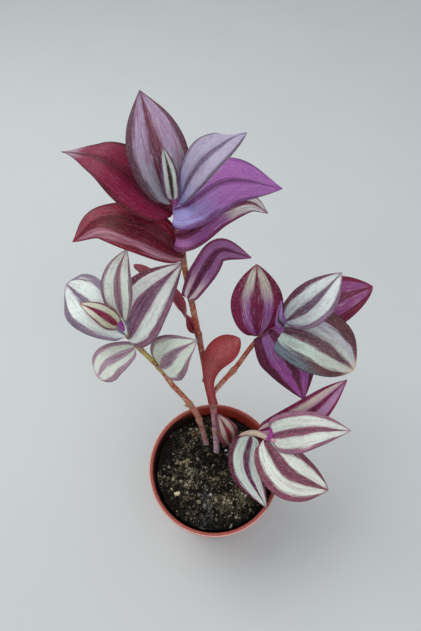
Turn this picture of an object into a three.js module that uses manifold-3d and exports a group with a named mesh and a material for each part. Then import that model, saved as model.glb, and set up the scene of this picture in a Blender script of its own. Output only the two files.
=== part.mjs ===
// A potted tradescantia: three stems, one of them with a side shoot, that carry striped leaves
// and stand in dark peat in a small thin-walled plastic pot. Millimetres, +Z up. The origin is
// the middle of the flat disc under the pot, on which it stands. +Y is the far side of the
// plant as it is usually looked at, and the main stem leans that way.
import * as THREE from "three";
import { mergeVertices } from "three/addons/utils/BufferGeometryUtils.js";
import Module from "manifold-3d";

const wasm = await Module();
wasm.setup();

// Driving dimensions
const GAP = 0.3; // clear space between two pieces that touch in the real plant

const POT = {
  height: 78,
  rimRadius: 45, // outside of the rolled lip
  lip: 2.2, // height of the rolled lip, and its width seen from above
  collarHeight: 9, // the band under the lip
  collarStep: 0.8, // how far that band stands out of the wall
  baseRadius: 33,
  wall: 1.2,
  discRadius: 12, // flat middle of the underside
  footWidth: 4.5, // flat ring under the wall
  rise: 2, // how far the ring between them is lifted off the table
  holes: 6,
  holeRadius: 3,
  holeSides: 8,
  edge: 0.8, // softened corners
  sides: 36,
};

const SOIL = {
  level: 69,
  dish: 1.8, // how much lower the soil lies at the wall than in the middle
  relief: 0.7, // height of its lumps
  rings: 5,
  holeDepth: 40, // how far along a stem from its buried end its hole reaches
};

// Each stem is a curve through hand-placed points, thick at the soil and thin at its tip.
// nodes are the swollen joints on its bare stretch, in mm from its buried end.
const STEMS = {
  main_stem: {
    through: [[2, 2, 44], [2, 10, 62], [1, 22, 86], [-1, 31, 108], [-4.5, 38, 124], [-6.5, 44, 141],
      [-10, 52.5, 164], [-14, 61, 190], [-17, 67, 212], [-18.5, 70, 231], [-18.5, 71, 251]],
    radius: [2.3, 1.5],
    nodes: [46, 92],
  },
  left_stem: {
    through: [[-1, 7, 46], [-4.5, 16, 62], [-11, 28, 92], [-19, 34.5, 108], [-28, 40, 120], [-35, 45, 133],
      [-45, 49.5, 147], [-52, 53, 160], [-57, 55.5, 172]],
    radius: [2.2, 1.5],
    nodes: [50, 66],
  },
  right_shoot: {
    through: [[-1.5, 32.5, 111], [-0.5, 35.5, 117], [6.5, 40.5, 126], [14, 45, 135], [24, 52, 151],
      [33, 55.5, 161], [44, 57, 170]],
    radius: [1.8, 1.4],
    nodes: [28],
  },
  short_stem: {
    through: [[10, 5, 48], [11.5, 13, 62], [15.5, 15.5, 78], [20, 16.5, 90], [27, 15, 98], [33, 11, 103],
      [39, 6.5, 107]],
    radius: [2.1, 1.4],
    nodes: [38],
  },
};
const CARRIERS = { main: "main_stem", left: "left_stem", right: "right_shoot", short: "short_stem" };
const carrierOf = (leafName) => CARRIERS[leafName.split("_")[0]];
const STEM = { sides: 8, step: 8, swell: 0.4, swellReach: 2.5 };

// One leaf a row. down is how far below its stem's tip its sheath sits, in mm along the stem.
// rib is where its midrib runs after that: half way and at the point, or more where it bends
// twice. up is the way its upper side faces once it is clear of the stem, width is across the
// flat blade, and fold is how steeply each half rises from the midrib at the base and at the
// point, in degrees. A leaf that leaves its stem on another side than the one its rib starts
// towards has side, and one that twists at its stalk has first, the way it faces there. One
// with a shape of its own has blunt, pointed, lobe or stalk, which BLADE explains.
const LEAVES = {
  main_leaf_1: { down: 148, rib: [[-3.5, 35, 131], [-2, 39, 145], [3, 42, 157], [15, 48.5, 164]],
    up: [0.2, 0.8, -0.6], width: 18, fold: [15, 8], blunt: 3.6, pointed: 0.7, stalk: [3.4, 1],
    colour: "coral" },
  main_leaf_2: { down: 91, rib: [[-29.5, 75, 176.5], [-50.5, 92, 178]], first: [0, 0.3, 0.9],
    up: [0.3, 0.9, 0.3], width: 28, fold: [20, 15], blunt: 0.9, pointed: 0.5, colour: "crimson" },
  main_leaf_3: { down: 63, rib: [[-6, 66.5, 205], [3, 75, 211], [20.5, 77.5, 202.5]], side: [-0.6, -1, 0],
    up: [0.3, -0.6, 0.6], width: 15, fold: [25, 10], blunt: 0.8, lobe: 6, colour: "violet" },
  main_leaf_4: { down: 36, rib: [[-37, 68, 232], [-57.5, 72, 233], [-72.5, 68, 224]], side: [0.5, -1, 0],
    up: [0.1, -0.4, 0.9], width: 25, fold: [20, 5], blunt: 0.8, lobe: 2, colour: "crimson" },
  main_leaf_5: { down: 22.5, rib: [[-13, 66.5, 232], [0, 76, 237], [17, 86, 234], [28, 87.5, 226]],
    side: [-0.6, -1, 0.1], up: [-0.2, -0.5, 0.8], width: 20, fold: [20, 10], lobe: 7, colour: "crimson" },
  main_leaf_6: { down: 12, rib: [[-45, 81.5, 257], [-59, 87.5, 260], [-75, 97, 256]],
    up: [0.2, -0.5, 0.85], width: 28, fold: [25, 5], blunt: 0.85, pointed: 1.7, colour: "crimson" },
  main_leaf_7: { down: 7.2, rib: [[-13, 67, 248.5], [6, 76, 255], [32, 80.5, 247]], side: [-0.8, -1, 0.2],
    up: [-0.2, -0.5, 0.85], width: 26, fold: [8, 5], blunt: 0.62, lobe: 7, colour: "violet" },
  main_leaf_8: { down: 4.5, rib: [[-26, 80.5, 266], [-34.5, 106, 281]], side: [-1, -0.3, 0],
    up: [0.1, -0.7, 0.7], width: 27, fold: [25, 10], blunt: 0.75, lobe: 2, colour: "violet" },
  main_leaf_9: { down: 2.6, rib: [[-7.5, 63.5, 271], [3.5, 67.5, 279], [12.5, 76.5, 278]],
    side: [0.8, -0.8, 0], up: [-0.6, -0.5, 0.6], width: 18, fold: [20, 10], blunt: 1.1, lobe: 2,
    colour: "violet" },
  main_leaf_10: { down: 0.6, rib: [[-20.5, 71, 264], [-22.5, 72.5, 274]], side: [-0.6, -1, 0],
    up: [0, -1, 0.2], width: 8, fold: [35, 20], blunt: 0.8, colour: "violet" },
  left_leaf_1: { down: 44, rib: [[-23, 40.5, 161.5], [-10, 42, 172]], up: [-0.6, -0.7, 0.3], width: 30,
    fold: [15, 5], blunt: 0.62, colour: "silver" },
  left_leaf_2: { down: 23, rib: [[-66.5, 43.5, 144], [-76, 40, 131]], up: [-0.2, -0.5, 0.8], width: 23,
    fold: [10, 0], blunt: 0.8, pointed: 0.5, colour: "silver" },
  left_leaf_3: { down: 13.5, rib: [[-38, 63.5, 184], [-18.5, 78, 198]], side: [-0.5, -1, 0],
    up: [-0.3, -0.5, 0.8], width: 36, fold: [20, 10], blunt: 0.6, lobe: 3, colour: "silver" },
  left_leaf_4: { down: 10.5, rib: [[-72.5, 61.5, 178], [-93.5, 84, 172]], side: [0, -1, 0],
    up: [0, -0.65, 0.75], width: 32, fold: [20, 10], blunt: 0.9, pointed: 0.8, lobe: 4,
    colour: "silver" },
  left_leaf_5: { down: 3, rib: [[-54.5, 60, 190], [-52.5, 65.5, 204], [-48, 76.5, 211]],
    side: [0.5, 0.8, 0.3], up: [0, -0.8, 0.6], width: 18, fold: [30, 15], blunt: 1.3, pointed: 1.2,
    lobe: 2, colour: "silver" },
  left_leaf_6: { down: 0.6, rib: [[-65, 50.5, 188], [-74, 52, 193.5]], side: [-0.5, -1, 0],
    up: [0.3, -0.5, 0.8], width: 13, fold: [35, 20], blunt: 0.8, lobe: 2, colour: "silver" },
  right_leaf_1: { down: 12.5, rib: [[36, 49.5, 164.5], [46.5, 42, 150], [56, 24, 131]],
    side: [-0.6, -0.7, 0.9], up: [-0.1, -0.4, 0.85], width: 35, fold: [5, 5], blunt: 0.7, pointed: 1.1,
    lobe: 8, colour: "violet" },
  right_leaf_2: { down: 21, rib: [[25, 60, 174], [24.5, 80.5, 194]], up: [0, -0.6, 0.75], width: 31,
    fold: [15, 10], blunt: 0.95, pointed: 0.95, colour: "silver" },
  right_leaf_3: { down: 9.5, rib: [[69, 68.5, 173.5], [94.5, 74, 181.5]], up: [-0.1, -0.25, 0.95],
    width: 33, fold: [15, 10], blunt: 0.8, pointed: 0.8, lobe: 0, colour: "violet" },
  right_leaf_4: { down: 7, rib: [[59.5, 43, 169], [84.5, 35.5, 149]], side: [0.3, -1, 0.3],
    up: [-0.1, -0.58, 0.8], width: 38, fold: [12, 0], pointed: 0.6, lobe: 8, colour: "silver" },
  right_leaf_5: { down: 1, rib: [[54, 54.5, 191], [69, 65.5, 203.5]], up: [-0.3, -0.6, 0.7], width: 24,
    fold: [25, 15], blunt: 1, colour: "silver" },
  right_leaf_6: { down: 4, rib: [[35.5, 51, 181], [37, 57, 190]], side: [-0.9, -0.5, 0.2],
    up: [0.6, -0.7, 0.3], width: 8, fold: [40, 30], blunt: 0.8, colour: "violet" },
  short_leaf_1: { down: 44, rib: [[9, 18.5, 92], [2.5, 26, 104]], up: [0.5, -0.7, 0.5], width: 15,
    fold: [25, 10], blunt: 0.9, colour: "silver" },
  short_leaf_2: { down: 20, rib: [[21, -6.5, 93], [34, -29, 81.5]], up: [-0.2, -0.4, 0.85], width: 23,
    fold: [15, 5], colour: "violet" },
  short_leaf_3: { down: 14, rib: [[57.5, 19.5, 116], [86, 38.5, 130]], up: [-0.1, -0.7, 0.7], width: 22,
    fold: [25, 10], blunt: 0.9, colour: "silver" },
  short_leaf_4: { down: 8, rib: [[46.5, -12, 101], [74, -19, 87]], up: [0, -0.4, 0.9], width: 31,
    fold: [15, 5], blunt: 0.65, pointed: 0.85, colour: "silver" },
  short_leaf_5: { down: 3, rib: [[60, 7.5, 124], [85, 8, 121]], up: [-0.1, -0.5, 0.85], width: 26,
    fold: [20, 10], colour: "silver" },
};

const BLADE = {
  rows: 9, // stations from base to point
  across: [-1, -0.5, 0, 0.5, 1], // from the left margin over the midrib to the right
  thick: 0.8,
  blunt: 0.5, // exponents of the outline towards the base and towards the point
  pointed: 1.05,
  stalk: [2, 4], // half the width where the blade leaves its sheath, and how fast that fades out
  tipHalf: 0.35,
  curl: 18, // how far the outer part of each half bends back down, in degrees
  lobe: 3, // how far the shoulders reach back past the stalk
  twisted: 0.35, // the share of its length over which a twisted leaf turns from first to up
};
const SHEATH = { sides: 8, wall: 0.7, above: 0.8, below: 1.2 };

const FINISHES = {
  pot: { color: "#a94a30", roughness: 0.5 },
  soil: { color: "#2b2520", roughness: 1 },
  stem: { color: "#9a5a3c", roughness: 0.55 },
  silver: { color: "#b9a5b4", roughness: 0.4 },
  violet: { color: "#7a4f86", roughness: 0.4 },
  crimson: { color: "#852342", roughness: 0.4 },
  coral: { color: "#b2504c", roughness: 0.6 },
};

const V = (x, y, z) => new THREE.Vector3(x, y, z);
const radians = THREE.MathUtils.degToRad;
const range = (count) => Array.from({ length: count }, (_, index) => index);
const bell = (x) => Math.exp(-x * x);

// Solids
function geometryOf(points, triangles) {
  const geometry = new THREE.BufferGeometry().setFromPoints(points);
  geometry.setIndex(triangles.flat());
  return geometry;
}

// A skin over rings of equally many points, each end closed by a fan about its middle. The
// points run round the way of travel as a right-hand screw turns.
function loft(rings) {
  const sides = rings[0].length;
  const points = rings.flat();
  const triangles = [];
  for (const row of range(rings.length - 1)) {
    for (const side of range(sides)) {
      const a = row * sides + side;
      const b = row * sides + ((side + 1) % sides);
      triangles.push([a, b, b + sides], [a, b + sides, a + sides]);
    }
  }
  for (const [ring, turn] of [[0, -1], [rings.length - 1, 1]]) {
    const middle = points.length;
    const sum = rings[ring].reduce((total, point) => total.add(point), V(0, 0, 0));
    points.push(sum.divideScalar(sides));
    for (const side of range(sides)) {
      const a = ring * sides + side;
      const b = ring * sides + ((side + 1) % sides);
      triangles.push(turn > 0 ? [middle, a, b] : [middle, b, a]);
    }
  }
  return geometryOf(points, triangles);
}

// Turned about the Z axis, from a profile of [radius, height] that starts and ends near it.
function turned(profile, sides) {
  return loft(profile.map(([radius, height]) => range(sides).map((side) => {
    const angle = (side / sides) * 2 * Math.PI;
    return V(radius * Math.cos(angle), radius * Math.sin(angle), height);
  })));
}

// A round bar through stations of { at, along, radius }, its section carried without turning.
function bar(stations, sides) {
  let out = V(1, 0, 0);
  return loft(stations.map(({ at, along, radius }) => {
    out = out.clone().projectOnPlane(along).normalize();
    const across = along.clone().cross(out);
    return range(sides).map((side) => {
      const angle = (side / sides) * 2 * Math.PI;
      return at.clone()
        .addScaledVector(out, radius * Math.cos(angle))
        .addScaledVector(across, radius * Math.sin(angle));
    });
  }));
}

function solid(geometry) {
  const bare = geometry.clone();
  bare.deleteAttribute("normal");
  bare.deleteAttribute("uv");
  const merged = mergeVertices(bare, 1e-5);
  return new wasm.Manifold(new wasm.Mesh({
    numProp: 3,
    vertProperties: merged.attributes.position.array,
    triVerts: Uint32Array.from(merged.index.array),
  }));
}

function fromSolid(made) {
  const mesh = made.getMesh();
  const geometry = new THREE.BufferGeometry();
  geometry.setAttribute("position", new THREE.BufferAttribute(mesh.vertProperties, 3));
  geometry.setIndex(new THREE.BufferAttribute(mesh.triVerts, 1));
  return geometry;
}

// Pot
const potTaper = (POT.rimRadius - POT.lip - POT.baseRadius) / POT.height;
const potOuter = (height) => POT.baseRadius + potTaper * height;
const potInner = (height) => potOuter(height) - POT.wall;

function pot() {
  const { height, rimRadius, lip, collarHeight, collarStep, wall, discRadius, footWidth, rise, edge } = POT;
  const collar = height - lip - collarHeight;
  const foot = POT.baseRadius - footWidth;
  const profile = [
    [discRadius / 2, 0],
    [discRadius, 0],
    [discRadius + rise, rise],
    [foot - rise, rise],
    [foot, 0],
    [POT.baseRadius - edge, 0],
    [potOuter(edge), edge],
    [potOuter(collar - collarStep), collar - collarStep],
    [potOuter(collar) + collarStep, collar],
    [potOuter(height - lip) + collarStep, height - lip],
    [rimRadius, height - lip + edge],
    [rimRadius, height - edge],
    [rimRadius - edge, height],
    [rimRadius - lip + edge / 2, height],
    [potInner(height) + edge / 2, height - lip],
    [potInner(wall + edge), wall + edge],
    [potInner(wall) - edge, wall],
    [foot + wall, wall],
    [foot + wall - rise, rise + wall],
    [discRadius - wall + rise, rise + wall],
    [discRadius - wall, wall],
    [discRadius / 2, wall],
  ];
  const drain = turned([[POT.holeRadius, -rise], [POT.holeRadius, 3 * rise + wall]], POT.holeSides);
  const middle = (discRadius + foot) / 2;
  return range(POT.holes).reduce((body, hole) => {
    const angle = ((hole + 0.5) / POT.holes) * 2 * Math.PI;
    const moved = drain.clone().translate(middle * Math.cos(angle), middle * Math.sin(angle), 0);
    return body.subtract(solid(moved));
  }, solid(turned(profile, POT.sides)));
}

// Stems
const curveThrough = (points) => new THREE.CatmullRomCurve3(points, false, "catmullrom", 0.5);

const routes = Object.fromEntries(Object.entries(STEMS).map(([name, stem]) => {
  const curve = curveThrough(stem.through.map((point) => V(...point)));
  return [name, { ...stem, curve, length: curve.getLength() }];
}));

function stemRadius(route, distance) {
  const swelling = route.nodes.map((node) => STEM.swell * bell((distance - node) / STEM.swellReach));
  const [thick, thin] = route.radius;
  return thick + (thin - thick) * (distance / route.length) + swelling.reduce((a, b) => a + b, 0);
}

// The bar of one stem, or of the hole that it stands in where spare is the clear space.
function stemBar(route, spare, end) {
  const even = range(Math.ceil(end / STEM.step) + 1).map((step) => Math.min(step * STEM.step, end));
  const apart = (distance) => route.nodes.every((node) => Math.abs(distance - node) > STEM.step / 2);
  const near = route.nodes.flatMap((node) => [node - STEM.swellReach, node, node + STEM.swellReach]);
  const distances = [...even.filter(apart), ...near.filter((distance) => distance < end)];
  const stations = distances.sort((a, b) => a - b).map((distance) => ({
    at: route.curve.getPointAt(distance / route.length),
    along: route.curve.getTangentAt(distance / route.length),
    radius: stemRadius(route, distance) + spare,
  }));
  for (const [station, beyond] of [[stations[0], -spare], [stations.at(-1), spare]]) {
    station.at = station.at.clone().addScaledVector(station.along, beyond);
  }
  return solid(bar(stations, STEM.sides));
}

const stemSolid = (name) => stemBar(routes[name], 0, routes[name].length);

// Soil
function soil() {
  const floor = POT.rise + POT.wall + GAP;
  const wallAt = (height) => potInner(height) - GAP;
  const edgeHeight = SOIL.level - SOIL.dish;
  const lumps = (x, y) => {
    const coarse = Math.sin((x - y) / 7.7);
    const fine = Math.sin(x / 5.1 + 1) * Math.cos(y / 4.3);
    return (SOIL.relief * (coarse + fine)) / 2;
  };
  const ring = (radius, heightAt) => range(POT.sides).map((side) => {
    const angle = (side / POT.sides) * 2 * Math.PI;
    const x = radius * Math.cos(angle);
    const y = radius * Math.sin(angle);
    return V(x, y, heightAt(x, y));
  });
  const top = (x, y) => {
    const outward = Math.hypot(x, y) / wallAt(edgeHeight);
    return SOIL.level - SOIL.dish * outward ** 3 + lumps(x, y) * (1 - outward ** 6);
  };
  const rings = [
    ring(wallAt(floor) / 2, () => floor),
    ring(wallAt(floor), () => floor),
    ...range(SOIL.rings).map((step) => ring(wallAt(edgeHeight) * (1 - step / SOIL.rings), top)),
  ];
  const rooted = [routes.main_stem, routes.left_stem, routes.short_stem];
  const holes = rooted.map((route) => stemBar(route, GAP, SOIL.holeDepth));
  return holes.reduce((body, hole) => body.subtract(hole), solid(loft(rings)));
}

// Leaves
function outline(part, { blunt = BLADE.blunt, pointed = BLADE.pointed }) {
  const widest = blunt / (blunt + pointed);
  return (part / widest) ** blunt * ((1 - part) / (1 - widest)) ** pointed;
}

// A blade with one thickness: rows across the midrib, each folded up from it and curled back
// down towards the margins, once for the upper face and once for the lower. Each face and
// margin lies further out by spare where it is to clear another leaf.
function blade(leaf, base, spare = 0) {
  const rib = curveThrough([base, ...leaf.rib.map((point) => V(...point))]);
  const [stalkHalf, fade] = leaf.stalk ?? BLADE.stalk;
  const faces = { upper: [], lower: [] };
  for (const row of range(BLADE.rows + 1)) {
    const part = (1 - Math.cos((Math.PI * row) / BLADE.rows)) / 2;
    const middle = rib.getPointAt(part);
    const along = rib.getTangentAt(part);
    const twist = THREE.MathUtils.smoothstep(part, 0, BLADE.twisted);
    const up = V(...(leaf.first ?? leaf.up)).lerp(V(...leaf.up), twist).projectOnPlane(along).normalize();
    const right = along.clone().cross(up);
    const stalk = BLADE.tipHalf + (stalkHalf - BLADE.tipHalf) * (1 - part) ** fade;
    const half = stalk + (leaf.width / 2 - BLADE.tipHalf) * outline(part, leaf) + spare;
    const fold = leaf.fold[0] + (leaf.fold[1] - leaf.fold[0]) * part;
    for (const across of BLADE.across) {
      const [out, rise] = halfSection(Math.abs(across), fold);
      const back = (leaf.lobe ?? BLADE.lobe) * across ** 2 * (1 - part) ** 4 * Math.min(1, part * 12);
      const point = middle.clone()
        .addScaledVector(right, Math.sign(across) * half * out)
        .addScaledVector(up, half * rise)
        .addScaledVector(along, -back);
      faces.upper.push(point.clone().addScaledVector(up, BLADE.thick / 2 + spare));
      faces.lower.push(point.clone().addScaledVector(up, -BLADE.thick / 2 - spare));
    }
  }
  return geometryOf([...faces.upper, ...faces.lower], skin(BLADE.rows, BLADE.across.length));
}

// Where a point lies that is so far from the midrib, along a half that starts at the fold's
// slope and loses the curl's on its way to the margin.
function halfSection(reach, fold) {
  const facets = BLADE.across.length - 1;
  const steps = Math.round((reach * facets) / 2);
  return range(steps).reduce(([out, rise], step) => {
    const slope = radians(fold - (BLADE.curl * (step + 0.5) * 2) / facets);
    return [out + (Math.cos(slope) * 2) / facets, rise + (Math.sin(slope) * 2) / facets];
  }, [0, 0]);
}

// The triangles of two grids that face away from each other, split alike, and of their rim.
function skin(rows, count) {
  const lower = (rows + 1) * count;
  const triangles = [];
  for (const row of range(rows)) {
    for (const column of range(count - 1)) {
      const a = row * count + column;
      const b = a + 1;
      const c = a + count;
      const d = c + 1;
      const halves = column < (count - 1) / 2 ? [[a, b, d], [a, d, c]] : [[a, b, c], [b, d, c]];
      for (const [i, j, k] of halves) {
        triangles.push([i, j, k], [lower + i, lower + k, lower + j]);
      }
    }
  }
  const last = rows * count;
  const rim = [
    ...range(count - 1),
    ...range(rows).map((row) => row * count + count - 1),
    ...range(count - 1).map((column) => last + count - 1 - column),
    ...range(rows).map((row) => last - row * count),
  ];
  rim.forEach((from, index) => {
    const to = rim[(index + 1) % rim.length];
    triangles.push([from, lower + from, lower + to], [from, lower + to, to]);
  });
  return triangles;
}

// Where a leaf joins its stem, with the radius of its sheath's bore and the blade's first point.
function joint(spec, route) {
  const distance = route.length - spec.down;
  const axis = route.curve.getPointAt(distance / route.length);
  const along = route.curve.getTangentAt(distance / route.length);
  const bore = (stemRadius(route, distance) + GAP) / Math.cos(Math.PI / SHEATH.sides);
  const towards = spec.side ? V(...spec.side) : V(...spec.rib[0]).sub(axis);
  const outward = towards.projectOnPlane(along).normalize();
  const base = axis.clone().addScaledVector(outward, bore + SHEATH.wall / 2);
  return { axis, along, bore, base };
}

// A short straight bar about a joint, longer than the sheath by spare at both ends.
function sleeve({ axis, along }, radius, spare) {
  const ends = [-SHEATH.below - spare, SHEATH.above + spare];
  const stations = ends.map((off) => ({ at: axis.clone().addScaledVector(along, off), along, radius }));
  return solid(bar(stations, SHEATH.sides));
}

// A leaf: its blade, and the short sheath by which it clasps the stem. The stems go through
// the sheath, and the blade is notched where it reaches them, another sheath, or the blade of
// a leaf further up.
function leaf(name, carrier) {
  const spec = LEAVES[name];
  const own = joint(spec, routes[carrier]);
  const others = Object.keys(LEAVES).filter((other) => other !== name && carrierOf(other) === carrier);
  const sheaths = others.map((other) => {
    const their = joint(LEAVES[other], routes[carrier]);
    return sleeve(their, their.bore + SHEATH.wall + GAP, GAP);
  });
  const higher = others.filter((other) => LEAVES[other].down < spec.down).map((other) => {
    const { base } = joint(LEAVES[other], routes[carrier]);
    return solid(blade(LEAVES[other], base, GAP));
  });
  const bars = Object.values(routes).map((route) => stemBar(route, GAP, route.length));
  const whole = solid(blade(spec, own.base)).add(sleeve(own, own.bore + SHEATH.wall, 0));
  const inTheWay = [...bars, ...sheaths, ...higher];
  const pieces = inTheWay.reduce((body, way) => body.subtract(way), whole).decompose();
  return pieces.reduce((largest, piece) => (piece.volume() > largest.volume() ? piece : largest));
}

// The plant in its pot
const plant = new THREE.Group();

function place(name, made, finish) {
  const material = new THREE.MeshStandardMaterial({ ...FINISHES[finish], metalness: 0 });
  const mesh = new THREE.Mesh(fromSolid(made), material);
  mesh.name = name;
  plant.add(mesh);
}

place("pot", pot(), "pot");
place("soil", soil(), "soil");
place("main_stem", stemSolid("main_stem").add(stemSolid("right_shoot")), "stem");
place("left_stem", stemSolid("left_stem"), "stem");
place("short_stem", stemSolid("short_stem"), "stem");

for (const [name, spec] of Object.entries(LEAVES)) {
  place(name, leaf(name, carrierOf(name)), spec.colour);
}

export default plant;
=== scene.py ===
"""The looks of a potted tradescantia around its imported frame: leaves, stems, peat and pot.

Everything is in metres in the frame's own axes; the tables below are in millimetres.
"""

import math

import bmesh
import bpy
import numpy as np
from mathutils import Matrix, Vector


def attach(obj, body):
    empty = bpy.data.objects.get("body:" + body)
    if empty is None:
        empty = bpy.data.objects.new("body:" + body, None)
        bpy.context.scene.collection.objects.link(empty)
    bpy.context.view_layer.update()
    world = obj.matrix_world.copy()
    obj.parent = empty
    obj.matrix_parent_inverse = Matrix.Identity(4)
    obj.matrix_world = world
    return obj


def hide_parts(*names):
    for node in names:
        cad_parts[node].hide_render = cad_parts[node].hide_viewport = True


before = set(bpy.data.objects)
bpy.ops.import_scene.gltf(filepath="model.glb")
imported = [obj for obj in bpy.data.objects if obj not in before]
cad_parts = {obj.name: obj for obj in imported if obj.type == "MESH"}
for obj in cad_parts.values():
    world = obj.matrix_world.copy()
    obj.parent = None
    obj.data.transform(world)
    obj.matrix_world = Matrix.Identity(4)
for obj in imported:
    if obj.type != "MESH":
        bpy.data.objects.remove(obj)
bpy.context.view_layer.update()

MM = 0.001
GAP = 0.3  # clearance between neighbouring pieces

# Tables, in millimetres
POT = dict(height=78, rim_radius=45, lip=2.2, collar_height=9, collar_step=0.8, base_radius=33, wall=1.2,
           disc_radius=12, foot_width=4.5, rise=2, holes=6, hole_radius=3, edge=0.8)
SOIL = dict(level=69, dish=1.8, relief=0.7)

# through: points on a stem's axis. radius: at its buried end and at its tip. nodes: where its
# swollen joints sit, measured along it.
STEMS = {
    "main_stem": dict(
        through=[[2, 2, 44], [2, 10, 62], [1, 22, 86], [-1, 31, 108], [-4.5, 38, 124], [-6.5, 44, 141],
                 [-10, 52.5, 164], [-14, 61, 190], [-17, 67, 212], [-18.5, 70, 231], [-18.5, 71, 251]],
        radius=[2.3, 1.5], nodes=[46, 92]),
    "left_stem": dict(
        through=[[-1, 7, 46], [-4.5, 16, 62], [-11, 28, 92], [-19, 34.5, 108], [-28, 40, 120],
                 [-35, 45, 133], [-45, 49.5, 147], [-52, 53, 160], [-57, 55.5, 172]],
        radius=[2.2, 1.5], nodes=[50, 66]),
    "right_shoot": dict(
        through=[[-1.5, 32.5, 111], [-0.5, 35.5, 117], [6.5, 40.5, 126], [14, 45, 135], [24, 52, 151],
                 [33, 55.5, 161], [44, 57, 170]],
        radius=[1.8, 1.4], nodes=[28]),
    "short_stem": dict(
        through=[[10, 5, 48], [11.5, 13, 62], [15.5, 15.5, 78], [20, 16.5, 90], [27, 15, 98],
                 [33, 11, 103], [39, 6.5, 107]],
        radius=[2.1, 1.4], nodes=[38]),
}
SWELL, SWELL_REACH = 0.4, 2.5
CARRIERS = {"main": "main_stem", "left": "left_stem", "right": "right_shoot", "short": "short_stem"}

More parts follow.
